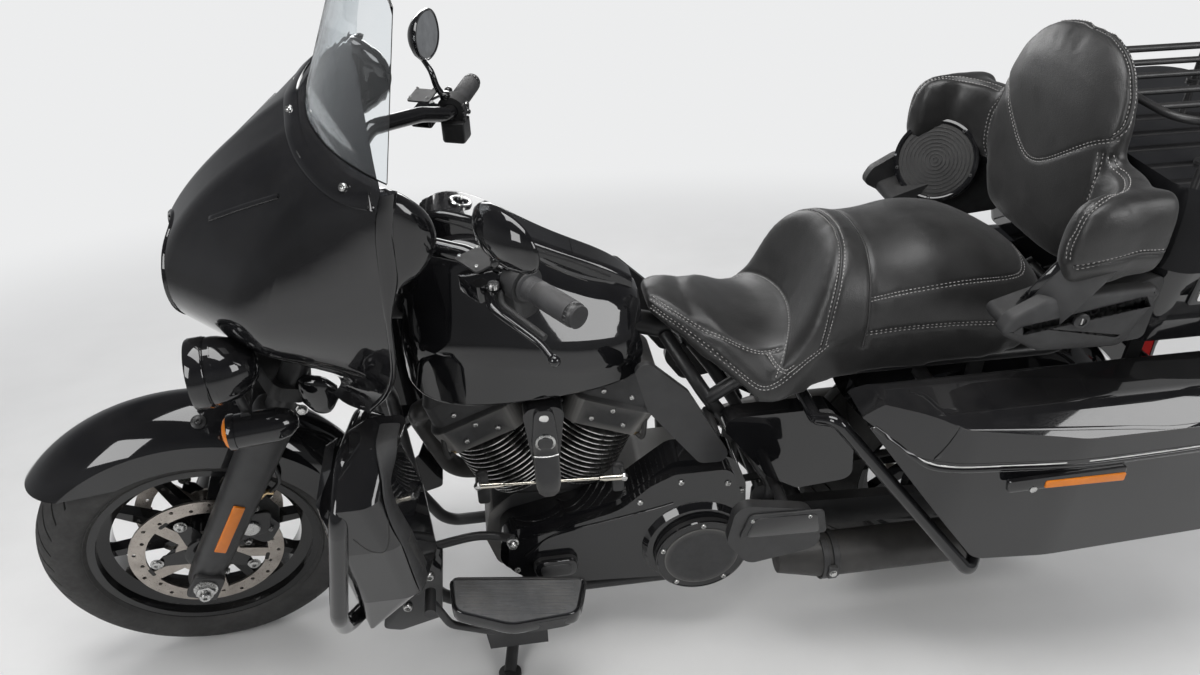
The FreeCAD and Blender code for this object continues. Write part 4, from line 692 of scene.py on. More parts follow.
def sew(name, obj, welts, stitched, material):
    """Piping in the seams, and a row of short stitches each side of them."""
    tree = surface_of(obj)
    cord = Piece(name + "_piping", material)
    for path, radius in welts:
        cord.tube([at + normal * radius * 0.5 for at, normal in laid_on(tree, path, 14, 40)], radius, 8, 1)
    cord.done(80)
    thread = Piece(name + "_stitches", thread_grey)
    for path, aside in stitched:
        run = laid_on(tree, path, 24, 90)
        gone = 0.0
        for (a, na), (b, _) in zip(run, run[1:]):
            along = b - a
            if along.length < 1e-6:
                continue
            gone += along.length
            if gone < 6.2:
                continue
            gone = 0.0
            along.normalize()
            side = along.cross(na).normalized()
            for shift in aside:
                mid, normal = tree.find_nearest(a + side * shift)[:2]
                thread.tube([mid - along * 2.1 - normal * 0.3, mid + normal * 0.75,
                    mid + along * 2.1 - normal * 0.3], (0.6, 0.95, 0.6), 5, 1)
    thread.done(80)


# Saddle, from nose to tail: forward, then the figure.
SEAT_CROWN = ((700, 846), (640, 838), (580, 808), (520, 780), (470, 768), (430, 770), (400, 786),
    (372, 850), (346, 922), (318, 938), (286, 930), (240, 932), (170, 944), (90, 934), (20, 908),
    (-40, 878), (-78, 850))
SEAT_HALF = ((700, 40), (660, 78), (600, 126), (520, 176), (430, 196), (345, 186), (280, 178), (160, 182),
    (30, 184), (-50, 166), (-78, 140))
SEAT_EDGE = ((700, 812), (660, 790), (600, 738), (520, 682), (430, 658), (345, 678), (280, 698), (160, 708),
    (30, 716), (-50, 740), (-78, 770))


def seat_point(x, across):
    """Point of the saddle's skin: across runs from -1 at the right skirt to 1 at the left."""
    turn = across * math.pi / 2
    half = curve_at(SEAT_HALF, x)
    edge = curve_at(SEAT_EDGE, x)
    crown = curve_at(SEAT_CROWN, x)
    y = half * power(math.sin(turn), 0.8)
    z = edge + (crown - edge) * power(math.cos(turn), 0.62)
    share = abs(y) / half
    wrap = smoothstep(x, 250, 340) * (1 - smoothstep(x, 400, 560))
    return Vector((x + 62 * wrap * share * share, y, z))


def make_seat():
    """The saddle: one stuffed form, pressed in and sewn along its seams."""
    seat = Cushion("seat_saddle", hide)
    rings = []
    for i in range(79):
        x = 690 - i * 764 / 78
        ring = [seat_point(x, -1 + 2 * k / 40) for k in range(41)]
        edge = curve_at(SEAT_EDGE, x)
        half = curve_at(SEAT_HALF, x)
        ring += [Vector((x, half * s, max(edge + 4, min(edge + 40, 710)))) for s in (0.8, 0.3, -0.3, -0.8)]
        rings.append(ring)
    seat.rings(rings)
    obj = seat.stuffed(8, 7)

    def across(x, low, high, bend):
        shares = [low + (high - low) * k / 8 for k in range(9)]
        return [seat_point(x + bend * share ** 2, share) for share in shares]

    def along(side, stations):
        return [seat_point(x, a * side) for x, a in stations]

    bolster_low = across(400, -0.74, 0.74, 34)
    bolster_top = across(322, -0.86, 0.86, 10)
    pillion_front = across(284, -0.9, 0.9, 0)
    seams = [bolster_low, bolster_top, pillion_front]
    for s in SIDES:
        seams.append(along(s, ((684, 0.5), (640, 0.52), (560, 0.5), (480, 0.46), (420, 0.44))))
        seams.append(along(s, ((690, 0.86), (620, 0.86), (520, 0.84), (440, 0.83), (380, 0.84),
            (322, 0.85))))
        seams.append(along(s, ((284, 0.62), (220, 0.6), (120, 0.58), (40, 0.52), (-20, 0.4), (-44, 0.12),
            (-46, 0.0))))
        seams.append(along(s, ((284, 0.84), (200, 0.84), (100, 0.84), (0, 0.85), (-60, 0.86))))
        seams.append([seat_point(455 - 20 * k, s * (0.44 + 0.1 * k)) for k in range(5)])
    press_seams(obj, seams, 3.5)
    sew("seat", obj, [(bolster_top, 2.6), (pillion_front, 2.2)],
        [(path, (-3.4, 3.4)) for path in seams[3:]] + [(bolster_top, (-5.5, 5.5)), (bolster_low, (3.5,))],
        hide)
    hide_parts("seat")


# Backrest pad: height, how far back its front face lies, half width.
PAD_BACK = -122
PAD_ROWS = ((884, -66, 120), (900, -54, 150), (960, -47, 172), (1040, -48, 184), (1110, -52, 188),
    (1170, -58, 182), (1220, -68, 164), (1256, -80, 136), (1280, -92, 100), (1293, -106, 56))


def make_backrest():
    """The backrest's pad with its two arms."""
    pad = Cushion("backrest_pad", hide)
    rings = []
    for z, front, half in PAD_ROWS:
        middle = (front + PAD_BACK) / 2
        depth = (front - PAD_BACK) / 2
        rings.append([Vector((middle + depth * power(math.cos(a), 0.6), half * power(math.sin(a), 0.72), z))
            for a in turns(40)])
    pad.rings(rings)
    for s in SIDES:
        route = [(-88, 120), (-92, 190), (-84, 244), (-52, 288), (-6, 304), (42, 304), (62, 302)]
        rows = []
        run = smooth_path([(x, y * s, 0) for x, y in route], 4)
        for i, here in enumerate(run):
            t = i / (len(run) - 1)
            along = (run[min(i + 1, len(run) - 1)] - run[max(i - 1, 0)]).normalized()
            side = Vector((-along.y, along.x, 0))
            thick = 30 * (1 - 0.9 * smoothstep(t, 0.86, 1.0)) * (0.9
                + 0.35 * math.sin(math.pi * min(t * 1.15, 1)))
            low = 962 - 14 * math.sin(math.pi * t)
            high = 1122 - 22 * t - 34 * smoothstep(t, 0.7, 1.0)
            mid = (low + high) / 2
            tall = (high - low) / 2 * (1 - 0.55 * smoothstep(t, 0.84, 1.0))
            rows.append(oval(Vector((here.x, here.y, mid)), side * thick, UP * tall, 28, 0.75))
        pad.rings(rows)
        tip = []
        for x, half, tall in ((-118, 22, 62), (-112, 30, 74), (-80, 32, 78), (-40, 32, 78), (0, 30, 74),
                (34, 22, 62)):
            tip.append([Vector((x, 298 * s + half * s * power(math.cos(a), 0.7),
                1036 + tall * power(math.sin(a), 0.7))) for a in turns(28)])
        pad.rings(tip)
    obj = pad.stuffed(8, 6)
    brow = [(-74, -178, 1150), (-58, -140, 1130), (-50, -90, 1092), (-48, -40, 1058), (-47, 0, 1046),
        (-48, 40, 1058), (-50, 90, 1092), (-58, 140, 1130), (-74, 178, 1150)]
    seams = [brow]
    for s in SIDES:
        seams.append(flip([(-70, 176, 1150), (-84, 184, 1190), (-94, 160, 1236), (-100, 110, 1272),
            (-106, 40, 1290), (-108, 0, 1294)], s))
        seams.append(flip([(-56, 168, 1120), (-52, 176, 1060), (-56, 172, 990), (-60, 160, 930)], s))
        seams.append(flip([(-64, 190, 1124), (-60, 226, 1120), (-34, 268, 1112), (10, 296, 1100),
            (52, 308, 1064), (60, 312, 1010)], s))
        seams.append(flip([(-112, 330, 1010), (-60, 334, 1014), (0, 334, 1010), (46, 322, 1000)], s))
    press_seams(obj, seams, 4)
    sew("backrest", obj, [(seams[1], 2.4), (seams[4], 2.4)],
        [(brow, (-3.4, 3.4))] + [(path, (-4.5, 4.5)) for path in seams[1:]], hide)
    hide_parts("backrest")


make_seat()
make_backrest()

# Wheels and fork

def skin_of(name, place=CHASSIS):
    """A search tree over a CAD node, in bike millimetres."""
    return surface_of(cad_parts[name], place)


def make_tyre(name, node_name, at, place, body, radius, crown, bead, rim_half, slots):
    """Tyre with a centre groove and slanted tread slots; the slots follow the mesh columns."""
    tyre = Piece(name, tyre_black, place, body)
    pitch = 2 * math.pi / slots
    columns = []
    for k in range(slots):
        columns += [((k + s) * pitch, cut) for s, cut in ((0, 0), (0.02, 1), (0.12, 1), (0.14, 0),
            (0.4, 0), (0.7, 0))]
    low, high, shoulder = 17, 62, 66
    slant = 0.0042
    groove, slot_depth = 4.0, 4.5
    rows = [-96, -88, -80, -72, -shoulder, -high, -high + 2, -50, -40, -28, -low - 2, -low, -8, -3.4, -2.6]
    rows += [-a for a in reversed(rows)]
    centre = radius - crown
    wall = crown * math.sin(math.radians(96))
    rings = []
    for turn, cut in columns:
        ring = []
        for a in rows:
            size = abs(a)
            depth = slot_depth * cut if low < size < high else 0
            depth = groove if size < 3 else depth
            angle = math.radians(a)
            out = crown - depth
            lean = turn + slant * (min(size, shoulder) - low)
            ring.append((math.sin(angle) * out, centre + math.cos(angle) * out, lean))
        lean = turn + slant * (shoulder - low)
        leg = []
        for share, bulge in ((0.25, 0.5), (0.5, -1.2), (0.56, 1.6), (0.62, 1.6), (0.68, -1.2),
                (0.88, -0.5), (1.0, 0)):
            y = wall + (rim_half + 2 - wall) * share ** 1.6 + bulge
            leg.append((y, centre - 7 + (bead - centre + 7) * share))
        leg.append((rim_half - 6, bead - 1))
        ring += [(y, r, lean) for y, r in leg] + [(-y, r, lean) for y, r in reversed(leg)]
        rings.append([at + Vector((math.sin(lean) * r, y, math.cos(lean) * r)) for y, r, lean in ring])
    tyre.rings(rings, False, True)
    obj = tyre.done(50)
    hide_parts(node_name)


# Front axle, and the fork legs' own directions: up along them, and forward across them.
AXLE = Vector((1625, 0, 320))
RAKE = math.radians(29.25)
LEG = Vector((-math.sin(RAKE), 0, math.cos(RAKE)))
LEG_FORE = Vector((LEG.z, 0, -LEG.x))


def make_front_end():
    """Leg covers, reflectors, axle nuts, brake details, rotor carriers and fender bolts."""
    covers = steered("fork_leg_covers", satin_black)
    reflectors = steered("fork_reflectors", amber)
    nuts = steered("front_axle_nuts", steel)
    for s in SIDES:
        foot = AXLE + LEFT * 115 * s
        rings = []
        for run, wide in ((-36, 8), (-34, 20), (-28, 27), (-16, 32), (10, 34), (60, 35), (160, 37),
                (300, 40), (400, 42), (446, 42), (458, 40), (462, 34)):
            rings.append(oval(foot + LEG * run, LEG_FORE * wide, LEFT * min(wide, 36), 36, 0.85))
        covers.rings(rings)
        covers.plate(taper((34, -30, 10), (30, 30, 10)), foot + LEFT * 30 * s - LEG * 2, LEG,
            LEG_FORE * s, 12, 3)
        reflectors.use(amber).plate(block(64, 11, 2), foot + LEG * 168 + LEFT * 35.4 * s + LEG_FORE * 2,
            LEG, LEG_FORE * s, 4, 1.2)
        nuts.bolt(foot + LEFT * 42 * s, LEFT * s, 17, 15, "hex")
        nuts.lathe([(11, 0), (11, 24), (9, 26), (4, 26), (4, 20), (0, 20)], foot + LEFT * 42 * s,
            LEFT * s, 24)
        nuts.bolt(foot + LEG * 40 - LEG_FORE * 30 + LEFT * 26 * s, -LEG_FORE, 6)
    covers.done(50)
    reflectors.done(40)
    nuts.done(34)

    brakes = steered("front_caliper_details", satin_black)
    for s in SIDES:
        face = 85.3 * s
        brakes.use(satin_black).plate([(-46, -30, 14), (-30, 28, 14), (34, 40, 16), (50, 6, 14),
            (30, -34, 16)], (1519, face, 402), FORWARD, UP if s < 0 else -UP, 7, 3)
        brakes.use(steel).lathe([(19, 0), (19, 5), (17, 7), (0, 7.5)], (1522, face + 6 * s, 398),
            LEFT * s, 30)
        for x, z, r in ((1549, 452, 8), (1536, 356, 8), (1486, 380, 5.5), (1500, 446, 5.5)):
            brakes.use(steel).bolt((x, face, z), LEFT * s, r, 9)
        brakes.use(brass).tube([(1490, face - 8 * s, 462), (1476, face - 8 * s, 474),
            (1462, face - 8 * s, 470)], 6, 12, 4)
        brakes.use(satin_black).tube([(1468, face - 8 * s, 472), (1440, 96 * s, 520), (1440, 100 * s, 600),
            (1400, 106 * s, 690)], 4.2, 8, 6)
    brakes.done(40)

    rotors = Piece("front_rotor_carriers", cast_gloss, STEERED, "front_wheel_body")
    for s in SIDES:
        face = 63.5 * s
        for k in range(5):
            a = 2 * math.pi * k / 5 + 0.3
            out = Vector((math.sin(a), 0, math.cos(a)))
            side = LEFT.cross(out) * s
            rotors.use(cast_gloss).plate([(34, -24, 8), (84, -15, 6), (100, 0, 12), (84, 15, 6),
                (34, 24, 8)], AXLE + LEFT * face, out, -side, 3, 1)
            rotors.use(steel).lathe([(13, 0), (13, 2), (10, 2.4), (10, 6), (8.6, 7), (5, 7), (5, 4),
                (0, 4)], AXLE + out * 99 + LEFT * (face + 2.8 * s), LEFT * s, 24)
            rotors.use(tyre_black).plate(block(4, 11, 4), AXLE + (out * 116 + side * 26)
                + LEFT * (face + 0.1 * s), (out * 4 + side).normalized(),
                -(side * 4 - out).normalized(), 0.5, 0.2)
        rotors.use(cast_gloss).lathe([(44, 0), (44, 4), (40, 6), (30, 6)], AXLE + LEFT * face, LEFT * s, 40)
    rotors.done(40)

    guard = steered("front_fender_bolts", satin_black)
    tree = skin_of("front_fender", STEERED)
    for s in SIDES:
        for x, z, silver in ((1556, 664, False), (1500, 622, True), (1470, 560, True)):
            at, normal = tree.ray_cast(Vector((x, 260 * s, z)), Vector((0, -s, 0)))[:2]
            if at is None:
                continue
            guard.use(satin_black).lathe([(14, -1), (14, 2), (11, 4)], at, normal, 28)
            guard.use(steel if silver else satin_black).bolt(at + normal * 3, normal, 7)
    guard.done(40)


make_tyre("front_tyre_tread", "front_tyre", AXLE, STEERED, "front_wheel_body", 320, 65, 218, 45, 40)
make_tyre("rear_tyre_tread", "rear_tyre", Vector((0, 0, 320)), CHASSIS, "rear_wheel_body", 320, 90, 203,
    64, 36)
make_front_end()

# Lamps

def make_lamp(piece, lens_piece, at, along, radius, bowl):
    """Round lamp face: bezel with a rolled edge, bright reflector, domed glass."""
    along = Vector(along).normalized()
    piece.use(gloss_black).lathe([(radius + 1.2, -26), (radius + 2.6, -24), (radius + 2.6, -3),
        (radius + 0.6, 1), (radius - 4, 2.2), (radius - 6, 0.4), (radius - 6, -4)], at, along, 56)
    piece.use(chrome).lathe([(radius - 6, -3), (radius - 9, -4), (radius * 0.5, -bowl * 0.7),
        (radius * 0.22, -bowl), (0.0, -bowl)], at, along, 48)
    lens_piece.lathe([(radius - 5.4, -2), (radius - 6, 0), (radius * 0.86, 1.8), (radius * 0.6, 4.4),
        (radius * 0.3, 6), (0, 6.6), (0, 3.6), (radius * 0.3, 3), (radius * 0.6, 1.4),
        (radius * 0.86, -1.2), (radius - 6, -3)], at, along, 48)


def make_lamps():
    """Passing lamps, turn signals and the headlamp."""
    lamps = steered("passing_lamp_bezels", gloss_black)
    glass = steered("passing_lamp_glass", clear_lens)
    signals = steered("front_signal_housings", gloss_black)
    ambers = steered("front_signal_lenses", amber)
    for s in SIDES:
        make_lamp(lamps, glass, (1499, 200 * s, 891), FORWARD, 57, 3.5)
        lamps.use(gloss_black).lathe([(57.4, 0), (58.4, 1), (57.4, 2)], (1470, 200 * s, 891), FORWARD, 56)
        lamps.use(gloss_black).lathe([(57.2, 0), (56, -10), (50, -30), (38, -50), (22, -62), (6, -66)],
            (1462, 200 * s, 891), FORWARD, 48)
        lamps.use(steel).lathe([(11, 0), (11, 3), (9, 3), (10, 9), (7, 15), (0, 17)], (1448, 176 * s, 833),
            (0.2, 0.5 * s, -1), 24)
        centre = Vector((1466, 214 * s, 766))
        signals.use(gloss_black).lathe([(30.6, -6), (31.6, -5), (31.6, 4), (30.4, 6.4), (27.6, 6.4)],
            centre, FORWARD, 40)
        signals.use(gloss_black).lathe([(30.4, 0), (29.6, -14), (24, -34), (12, -46), (4, -48)],
            centre - FORWARD * 60, FORWARD, 36)
        ambers.lathe([(28.4, 0), (28, 5), (24, 10), (14, 14), (0, 15.4)], centre + FORWARD * 2, FORWARD, 40)
        signals.use(steel).lathe([(12, 0), (12, 4), (9, 5), (9, 10), (7, 14), (0, 15)],
            (1404, 160 * s, 742), (0.3, 0.8 * s, -0.3), 6)
    lamps.done(38)
    glass.done(60)
    signals.done(38)
    ambers.done(50)

    tree = skin_of("outer_fairing", STEERED)
    middle, reach, bowl = 982, 88, 78
    rim = []
    for a in turns(64):
        start = Vector((1700, reach * math.cos(a), middle + reach * math.sin(a)))
        rim.append(tree.ray_cast(start, -FORWARD)[0] or start - FORWARD * 240)
    inner = min(p.x for p in rim) - 6
    lamp = steered("headlamp_unit", gloss_black)
    rings = []
    for shift, out in ((-10, 3), (0, 3.4), (3.4, 1), (4, -2), (2, -5), (-6, -6)):
        share = 1 + out / reach
        rings.append([Vector((p.x + shift, p.y * share, middle + (p.z - middle) * share)) for p in rim])
    rings.append([Vector((inner, p.y * bowl / reach, middle + (p.z - middle) * bowl / reach)) for p in rim])
    lamp.use(gloss_black).rings(rings, False)
    at = (inner, 0, middle)
    lamp.use(chrome).lathe([(bowl, 0), (74, -8), (52, -34), (24, -46), (0, -48)], at, FORWARD, 56)
    lamp.use(satin_black).lathe([(24, -40), (20, -20), (16, -14), (0, -12)], at, FORWARD, 32)
    lamp_obj = lamp.done(38)
    cover = steered("headlamp_glass", clear_lens)
    cover.lathe([(79, -3), (79, 0), (66, 6), (44, 11), (20, 14), (0, 14.6), (0, 11.6), (20, 11), (44, 8),
        (66, 3), (77, -3)], at, FORWARD, 56)
    cover.done(60)
    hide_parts("headlamp")


make_lamps()

# Trims laid on a skin

def strip(piece, tree, path, width, thick, steps=8, sink=0.4):
    """A flat band with softened edges that follows the skin under it."""
    run = laid_on(tree, path, steps)
    rings = []
    for i, (here, normal) in enumerate(run):
        along = run[min(i + 1, len(run) - 1)][0] - run[max(i - 1, 0)][0]
        side = along.cross(normal).normalized()
        half = width / 2
        rings.append([here + side * a * half + normal * h for a, h in ((-1, -sink), (-1, thick * 0.5),
            (-0.8, thick * 0.92), (0, thick), (0.8, thick * 0.92), (1, thick * 0.5), (1, -sink))])
    piece.rings(rings)


def stud(piece, tree, x, z, side, radius):
    """A screw head on the skin, seen from the side of the bike; left out where there is no skin."""
    at = tree.ray_cast(Vector((x, 460 * side, z)), Vector((0, -side, 0)))[0]
    if at is not None:
        piece.bolt(at, LEFT * side, radius)


def swelling(piece, rows, side, u, square):
    """A form along a smooth line: rows give its middle and its half widths in u and sideways."""
    middles = smooth_path([(x, y * side, z) for x, y, z, _, _ in rows], 5)
    wides = smooth_path([(a, b, 0) for _, _, _, a, b in rows], 5)
    piece.rings([oval(c, u * w.x, LEFT * w.y, 28, square) for c, w in zip(middles, wides)])


# Fairing

def make_fairing_trim():
    """Strips and edges of the fairing, its instruments, the lower fairings and the fork's shrouds."""
    shell = skin_of("outer_fairing", STEERED)
    trim = steered("fairing_trims", satin_black)
    foot = [(1166, -322, 1222), (1202, -290, 1219), (1227, -255, 1222), (1251, -194, 1226),
        (1266, -136, 1230), (1272, -70, 1234), (1274, 0, 1236)]
    foot += [(x, -y, z) for x, y, z in reversed(foot[:-1])]
    strip(trim.use(gloss_black), shell, foot, 26, 3.2, 6)
    strip(trim.use(steel), shell, [(x, y, z - 9) for x, y, z in foot], 1.8, 4.0, 6)
    for x, y, z in ((1274, 0, 1232), (1206, 272, 1224), (1206, -272, 1224)):
        at, normal = shell.find_nearest(Vector((x, y, z)))[:2]
        trim.use(steel).bolt(at + normal * 3, normal, 6.5, 5)
    slot = [(1288, 194, 1194), (1278, 186, 1205), (1281, 152, 1211), (1292, 104, 1214), (1303, 45, 1215),
        (1305, 0, 1216)]
    slot += flip(slot[:-1], -1)[::-1]
    strip(trim.use(moulded), shell, [(x + 8, y * 0.96, z - 9) for x, y, z in slot], 15, 6.5, 6)
    strip(trim.use(tyre_black), shell, [(x + 18, y * 0.9, z - 22) for x, y, z in slot[1:-1]], 12, 0.8, 6)
    for s in SIDES:
        ridge = flip([(1284, 200, 1188), (1307, 188, 1181), (1330, 171, 1168), (1367, 145, 1148),
            (1415, 113, 1120), (1440, 90, 1102)], s)
        strip(trim.use(gloss_shell), shell, ridge, 9, 2.6, 6)
        edge = flip([(1166, 320, 1232), (1174, 326, 1200), (1180, 330, 1160), (1184, 330, 1080),
            (1186, 322, 990), (1192, 300, 900), (1210, 276, 838), (1238, 252, 792)], s)
        run = smooth_path(edge, 6)
        rings = [[p - FORWARD * (16 * math.cos(a) + 13) * (0.35 + 0.65 * smoothstep(p.z, 1010, 1110))
            + LEFT * s * (7 * math.sin(a) - 3) for a in turns(20)] for p in run]
        trim.use(gloss_shell).rings(rings)
    trim.done(50)

    caps = steered("inner_fairing_caps", gloss_shell)
    for s in SIDES:
        swelling(caps, ((1164, 304, 1232, 12, 8), (1156, 304, 1214, 30, 20), (1142, 304, 1180, 44, 26),
            (1138, 306, 1140, 46, 26), (1148, 310, 1104, 36, 20), (1162, 314, 1078, 16, 9)), s,
            FORWARD, 0.9)
    caps.done(60)

    dash = skin_of("inner_fairing", STEERED)
    gauges = steered("instrument_gauges", satin_black)
    needles = steered("instrument_faces", display)
    for y, z, r in ((58, 1160, 48), (-58, 1160, 48), (140, 1165, 26), (-140, 1165, 26), (205, 1105, 46),
            (-205, 1105, 46)):
        at = dash.ray_cast(Vector((700, y, z)), FORWARD)[0]
        if at is None:
            continue
        gauges.use(gloss_black).lathe([(r, -2), (r + 1, 8), (r - 1, 11), (r - 5, 9), (r - 6, 3),
            (r - 7, 2)], at, -FORWARD, 48)
        face = at - FORWARD * 3
        if abs(y) > 200:
            for k in range(5):
                ring = r - 8 - 8 * k
                gauges.use(satin_black).lathe([(ring, 2), (ring - 1, 5), (ring - 4, 5), (ring - 5, 2)], at,
                    -FORWARD, 40, True)
            gauges.use(tyre_black).lathe([(r - 6, 1), (r - 6, 2), (0, 2)], at, -FORWARD, 40)
            continue
        needles.use(display).lathe([(r - 6, 0), (r - 6, 2), (0, 2.4)], face, -FORWARD, 48)
        for k in range(21):
            a = math.radians(-130 + 13 * k)
            out = Vector((0, math.sin(a), math.cos(a)))
            long = 7 if k % 2 == 0 else 4
            mark = face - FORWARD * 2.6
            needles.use(dial_white).tube([mark + out * (r - 9), mark + out * (r - 9 - long)], 0.7, 6, 1)
        out = Vector((0, math.sin(2.4), math.cos(2.4)))
        needles.use(red_lens).tube([face - FORWARD * 4 - out * 5, face - FORWARD * 4 + out * (r - 14)],
            [1.4, 0.6], 6, 1)
    at = dash.ray_cast(Vector((700, 0, 1070)), FORWARD)[0]
    if at is not None:
        gauges.use(satin_black).plate(block(84, 52, 10), at + FORWARD * 2, -LEFT, UP, 12, 4)
        needles.use(display).plate(block(74, 42, 6), at - FORWARD * 9, -LEFT, UP, 2, 0.8)
    gauges.done(40)
    needles.done(40)

    legs = Piece("lower_fairing_trims", moulded)
    tree = skin_of("lower_fairings")
    for s in SIDES:
        strip(legs.use(moulded), tree, flip([(1168, 262, 768), (1172, 318, 764), (1166, 352, 708),
            (1156, 366, 640), (1142, 356, 560), (1134, 340, 470), (1160, 300, 380)], s), 34, 5, 8)
        strip(legs.use(tyre_black), tree, flip([(1196, 318, 768), (1190, 353, 712), (1184, 378, 640),
            (1194, 386, 600), (1219, 388, 606), (1240, 382, 640)], s), 2.4, 0.6, 8)
        strip(legs.use(tyre_black), tree, flip([(1150, 356, 600), (1142, 340, 540), (1138, 320, 480)], s),
            24, 6, 6)
    legs.done(50)

    under = steered("fork_shrouds", gloss_black)
    for s in SIDES:
        swelling(under.use(gloss_black), ((1366, 122, 768, 14, 6), (1352, 132, 766, 30, 16),
            (1332, 142, 758, 42, 18), (1308, 150, 758, 38, 16), (1288, 154, 764, 12, 8)), s, UP, 0.85)
        under.use(steel).bolt((1356, 152 * s, 736), (0.2, s, 0), 8, 8, "hex")
    under.done(60)


# Bars and mirrors

def make_controls():
    """Grips, switch housings, levers and mirrors."""
    grips = steered("hand_grips", grip_rubber)
    boxes = steered("switch_housings", satin_black)
    levers = steered("hand_levers", gloss_black)
    for s in SIDES:
        inner = Vector((990, 300 * s, 1056))
        grip = Vector((917, 440 * s, 1060)) - inner
        along = grip.normalized()
        long = grip.length
        fore = along.cross(UP).normalized() * s
        rise = fore.cross(along) * s
        profile = [(19, 46), (24, 47), (24, 51), (19.6, 53)]
        for k in range(3):
            profile += [(19.6, 62 + 4 * k), (18.8, 63 + 4 * k), (18.8, 64.4 + 4 * k), (19.6, 65.4 + 4 * k)]
        profile += [(20, 96), (20, long - 14), (19.4, long - 12)]
        grips.use(grip_rubber).lathe(profile + [(16, long - 12)], inner, along, 40)
        grips.use(satin_black).lathe([(18, long - 13), (19.6, long - 11), (19.6, long - 4), (17.6, long),
            (12, long + 1.5), (0, long + 1.5)], inner, along, 40)
        for a in turns(18):
            out = fore * math.cos(a) + rise * math.sin(a)
            grips.use(steel).tube([inner + along * (long - 10) + out * 19.2,
                inner + along * (long - 5) + out * 19.2], 0.9, 6, 1)
        boxes.use(satin_black).plate([(-4, -26, 9), (40, -24, 9), (42, 26, 9), (-2, 24, 9)],
            inner + rise * 2 - fore * 6 - rise * 22, along, fore * s, 46, 7)
        for run, high, w, h, kind in ((12, 14, 7, 5, 0), (26, 12, 5, 5, 1), (16, -2, 9, 4, 0),
                (32, -6, 4.4, 4.4, 1), (14, -14, 6, 4, 0)):
            at = inner + along * run + rise * high - fore * 31
            if kind:
                boxes.use(steel).lathe([(w + 1.4, 0), (w + 1.4, 2), (w, 2.4)], at, -fore, 24)
                boxes.use(moulded).lathe([(w, 1), (w, 4), (w - 1, 5), (0, 5)], at, -fore, 24)
            else:
                boxes.use(moulded).plate(block(w, h, 2), at, along, rise * s, 4, 1.2)
        tank = inner - along * 8 + fore * 46 + rise * 14
        boxes.use(gloss_black).plate([(-30, -22, 6), (24, -22, 6), (24, 22, 6), (-30, 22, 6)], tank, along,
            fore * s, 30, 3)
        boxes.use(satin_black).plate([(-31, -23, 6), (25, -23, 6), (25, 23, 6), (-31, 23, 6)],
            tank + rise * 29.5, along, fore * s, 4, 1.4)
        for a, b in ((-24, -17), (18, -17), (18, 17), (-24, 17)):
            boxes.use(steel).bolt(tank + along * a + fore * b + rise * 33.5, rise, 3)
        boxes.use(steel).lathe([(9, 0), (9, 7), (7, 9), (0, 9)],
            inner + along * 20 + fore * 44 + rise * 6, rise, 28)
        pivot = inner + along * 20 + fore * 52
        route = [pivot, pivot + along * 30 + fore * 16 - rise * 4,
            pivot + along * 74 + fore * 14 - rise * 12, pivot + along * 122 + fore * 8 - rise * 24,
            pivot + along * 158 + fore * 12 - rise * 34]
        levers.use(gloss_black).tube(route, [9, 8, 7.4, 6.6, 5.6], 16, 6, 0.6)
        levers.use(gloss_black).lathe([(0, -9), (5, -8), (8.4, -4), (9, 0), (8.4, 4), (5, 8), (0, 9)],
            route[-1], along, 20)
        levers.use(gloss_black).tube([inner + along * 4 + fore * 12, inner + along * 12 + fore * 38, pivot],
            [12, 12, 11], 16, 5)
    grips.done(40)
    boxes.done(40)
    levers.done(60)

    mirrors = steered("mirror_heads", gloss_black)
    glass = steered("mirror_glasses", mirror)
    for s in SIDES:
        centre = Vector((1008, 404 * s, 1186))
        facing = Vector((-0.9, -0.42 * s, 0.12)).normalized()
        across = facing.cross(UP).normalized()
        tall = across.cross(facing)
        rings = []
        for depth, share in ((30, 0.05), (28, 0.3), (22, 0.6), (12, 0.86), (2, 1.0), (-3, 1.02), (-6, 1.0),
                (-6, 0.93), (-3.6, 0.9)):
            rings.append(oval(centre - facing * depth, across * 70 * share, tall * 46 * share, 48,
                0.86, 0.92))
        mirrors.rings(rings, True)
        glass.rings([oval(centre + facing * h, across * 70 * w, tall * 46 * w, 48, 0.86, 0.92)
            for h, w in ((3.4, 0.91), (4.8, 0.9), (5.2, 0.6))])
        root = Vector((990, 300 * s, 1056)) + Vector((-0.46, 0.887 * s, 0.03)) * 24
        mirrors.tube([root + UP * 30 + FORWARD * 14, root + UP * 52 + FORWARD * 26,
            root + UP * 84 + FORWARD * 34 + LEFT * 10 * s, centre - facing * 24 - tall * 30,
            centre - facing * 16 - tall * 10], [6.5, 6.5, 6, 6, 7], 14, 6)
        mirrors.lathe([(10, 0), (11, 3), (11, 10), (8, 13), (0, 13)], root + UP * 26 + FORWARD * 12, UP, 24)
    mirrors_obj = mirrors.done(50)
    glass.done(60)
    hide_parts("mirrors")


# Tank and console

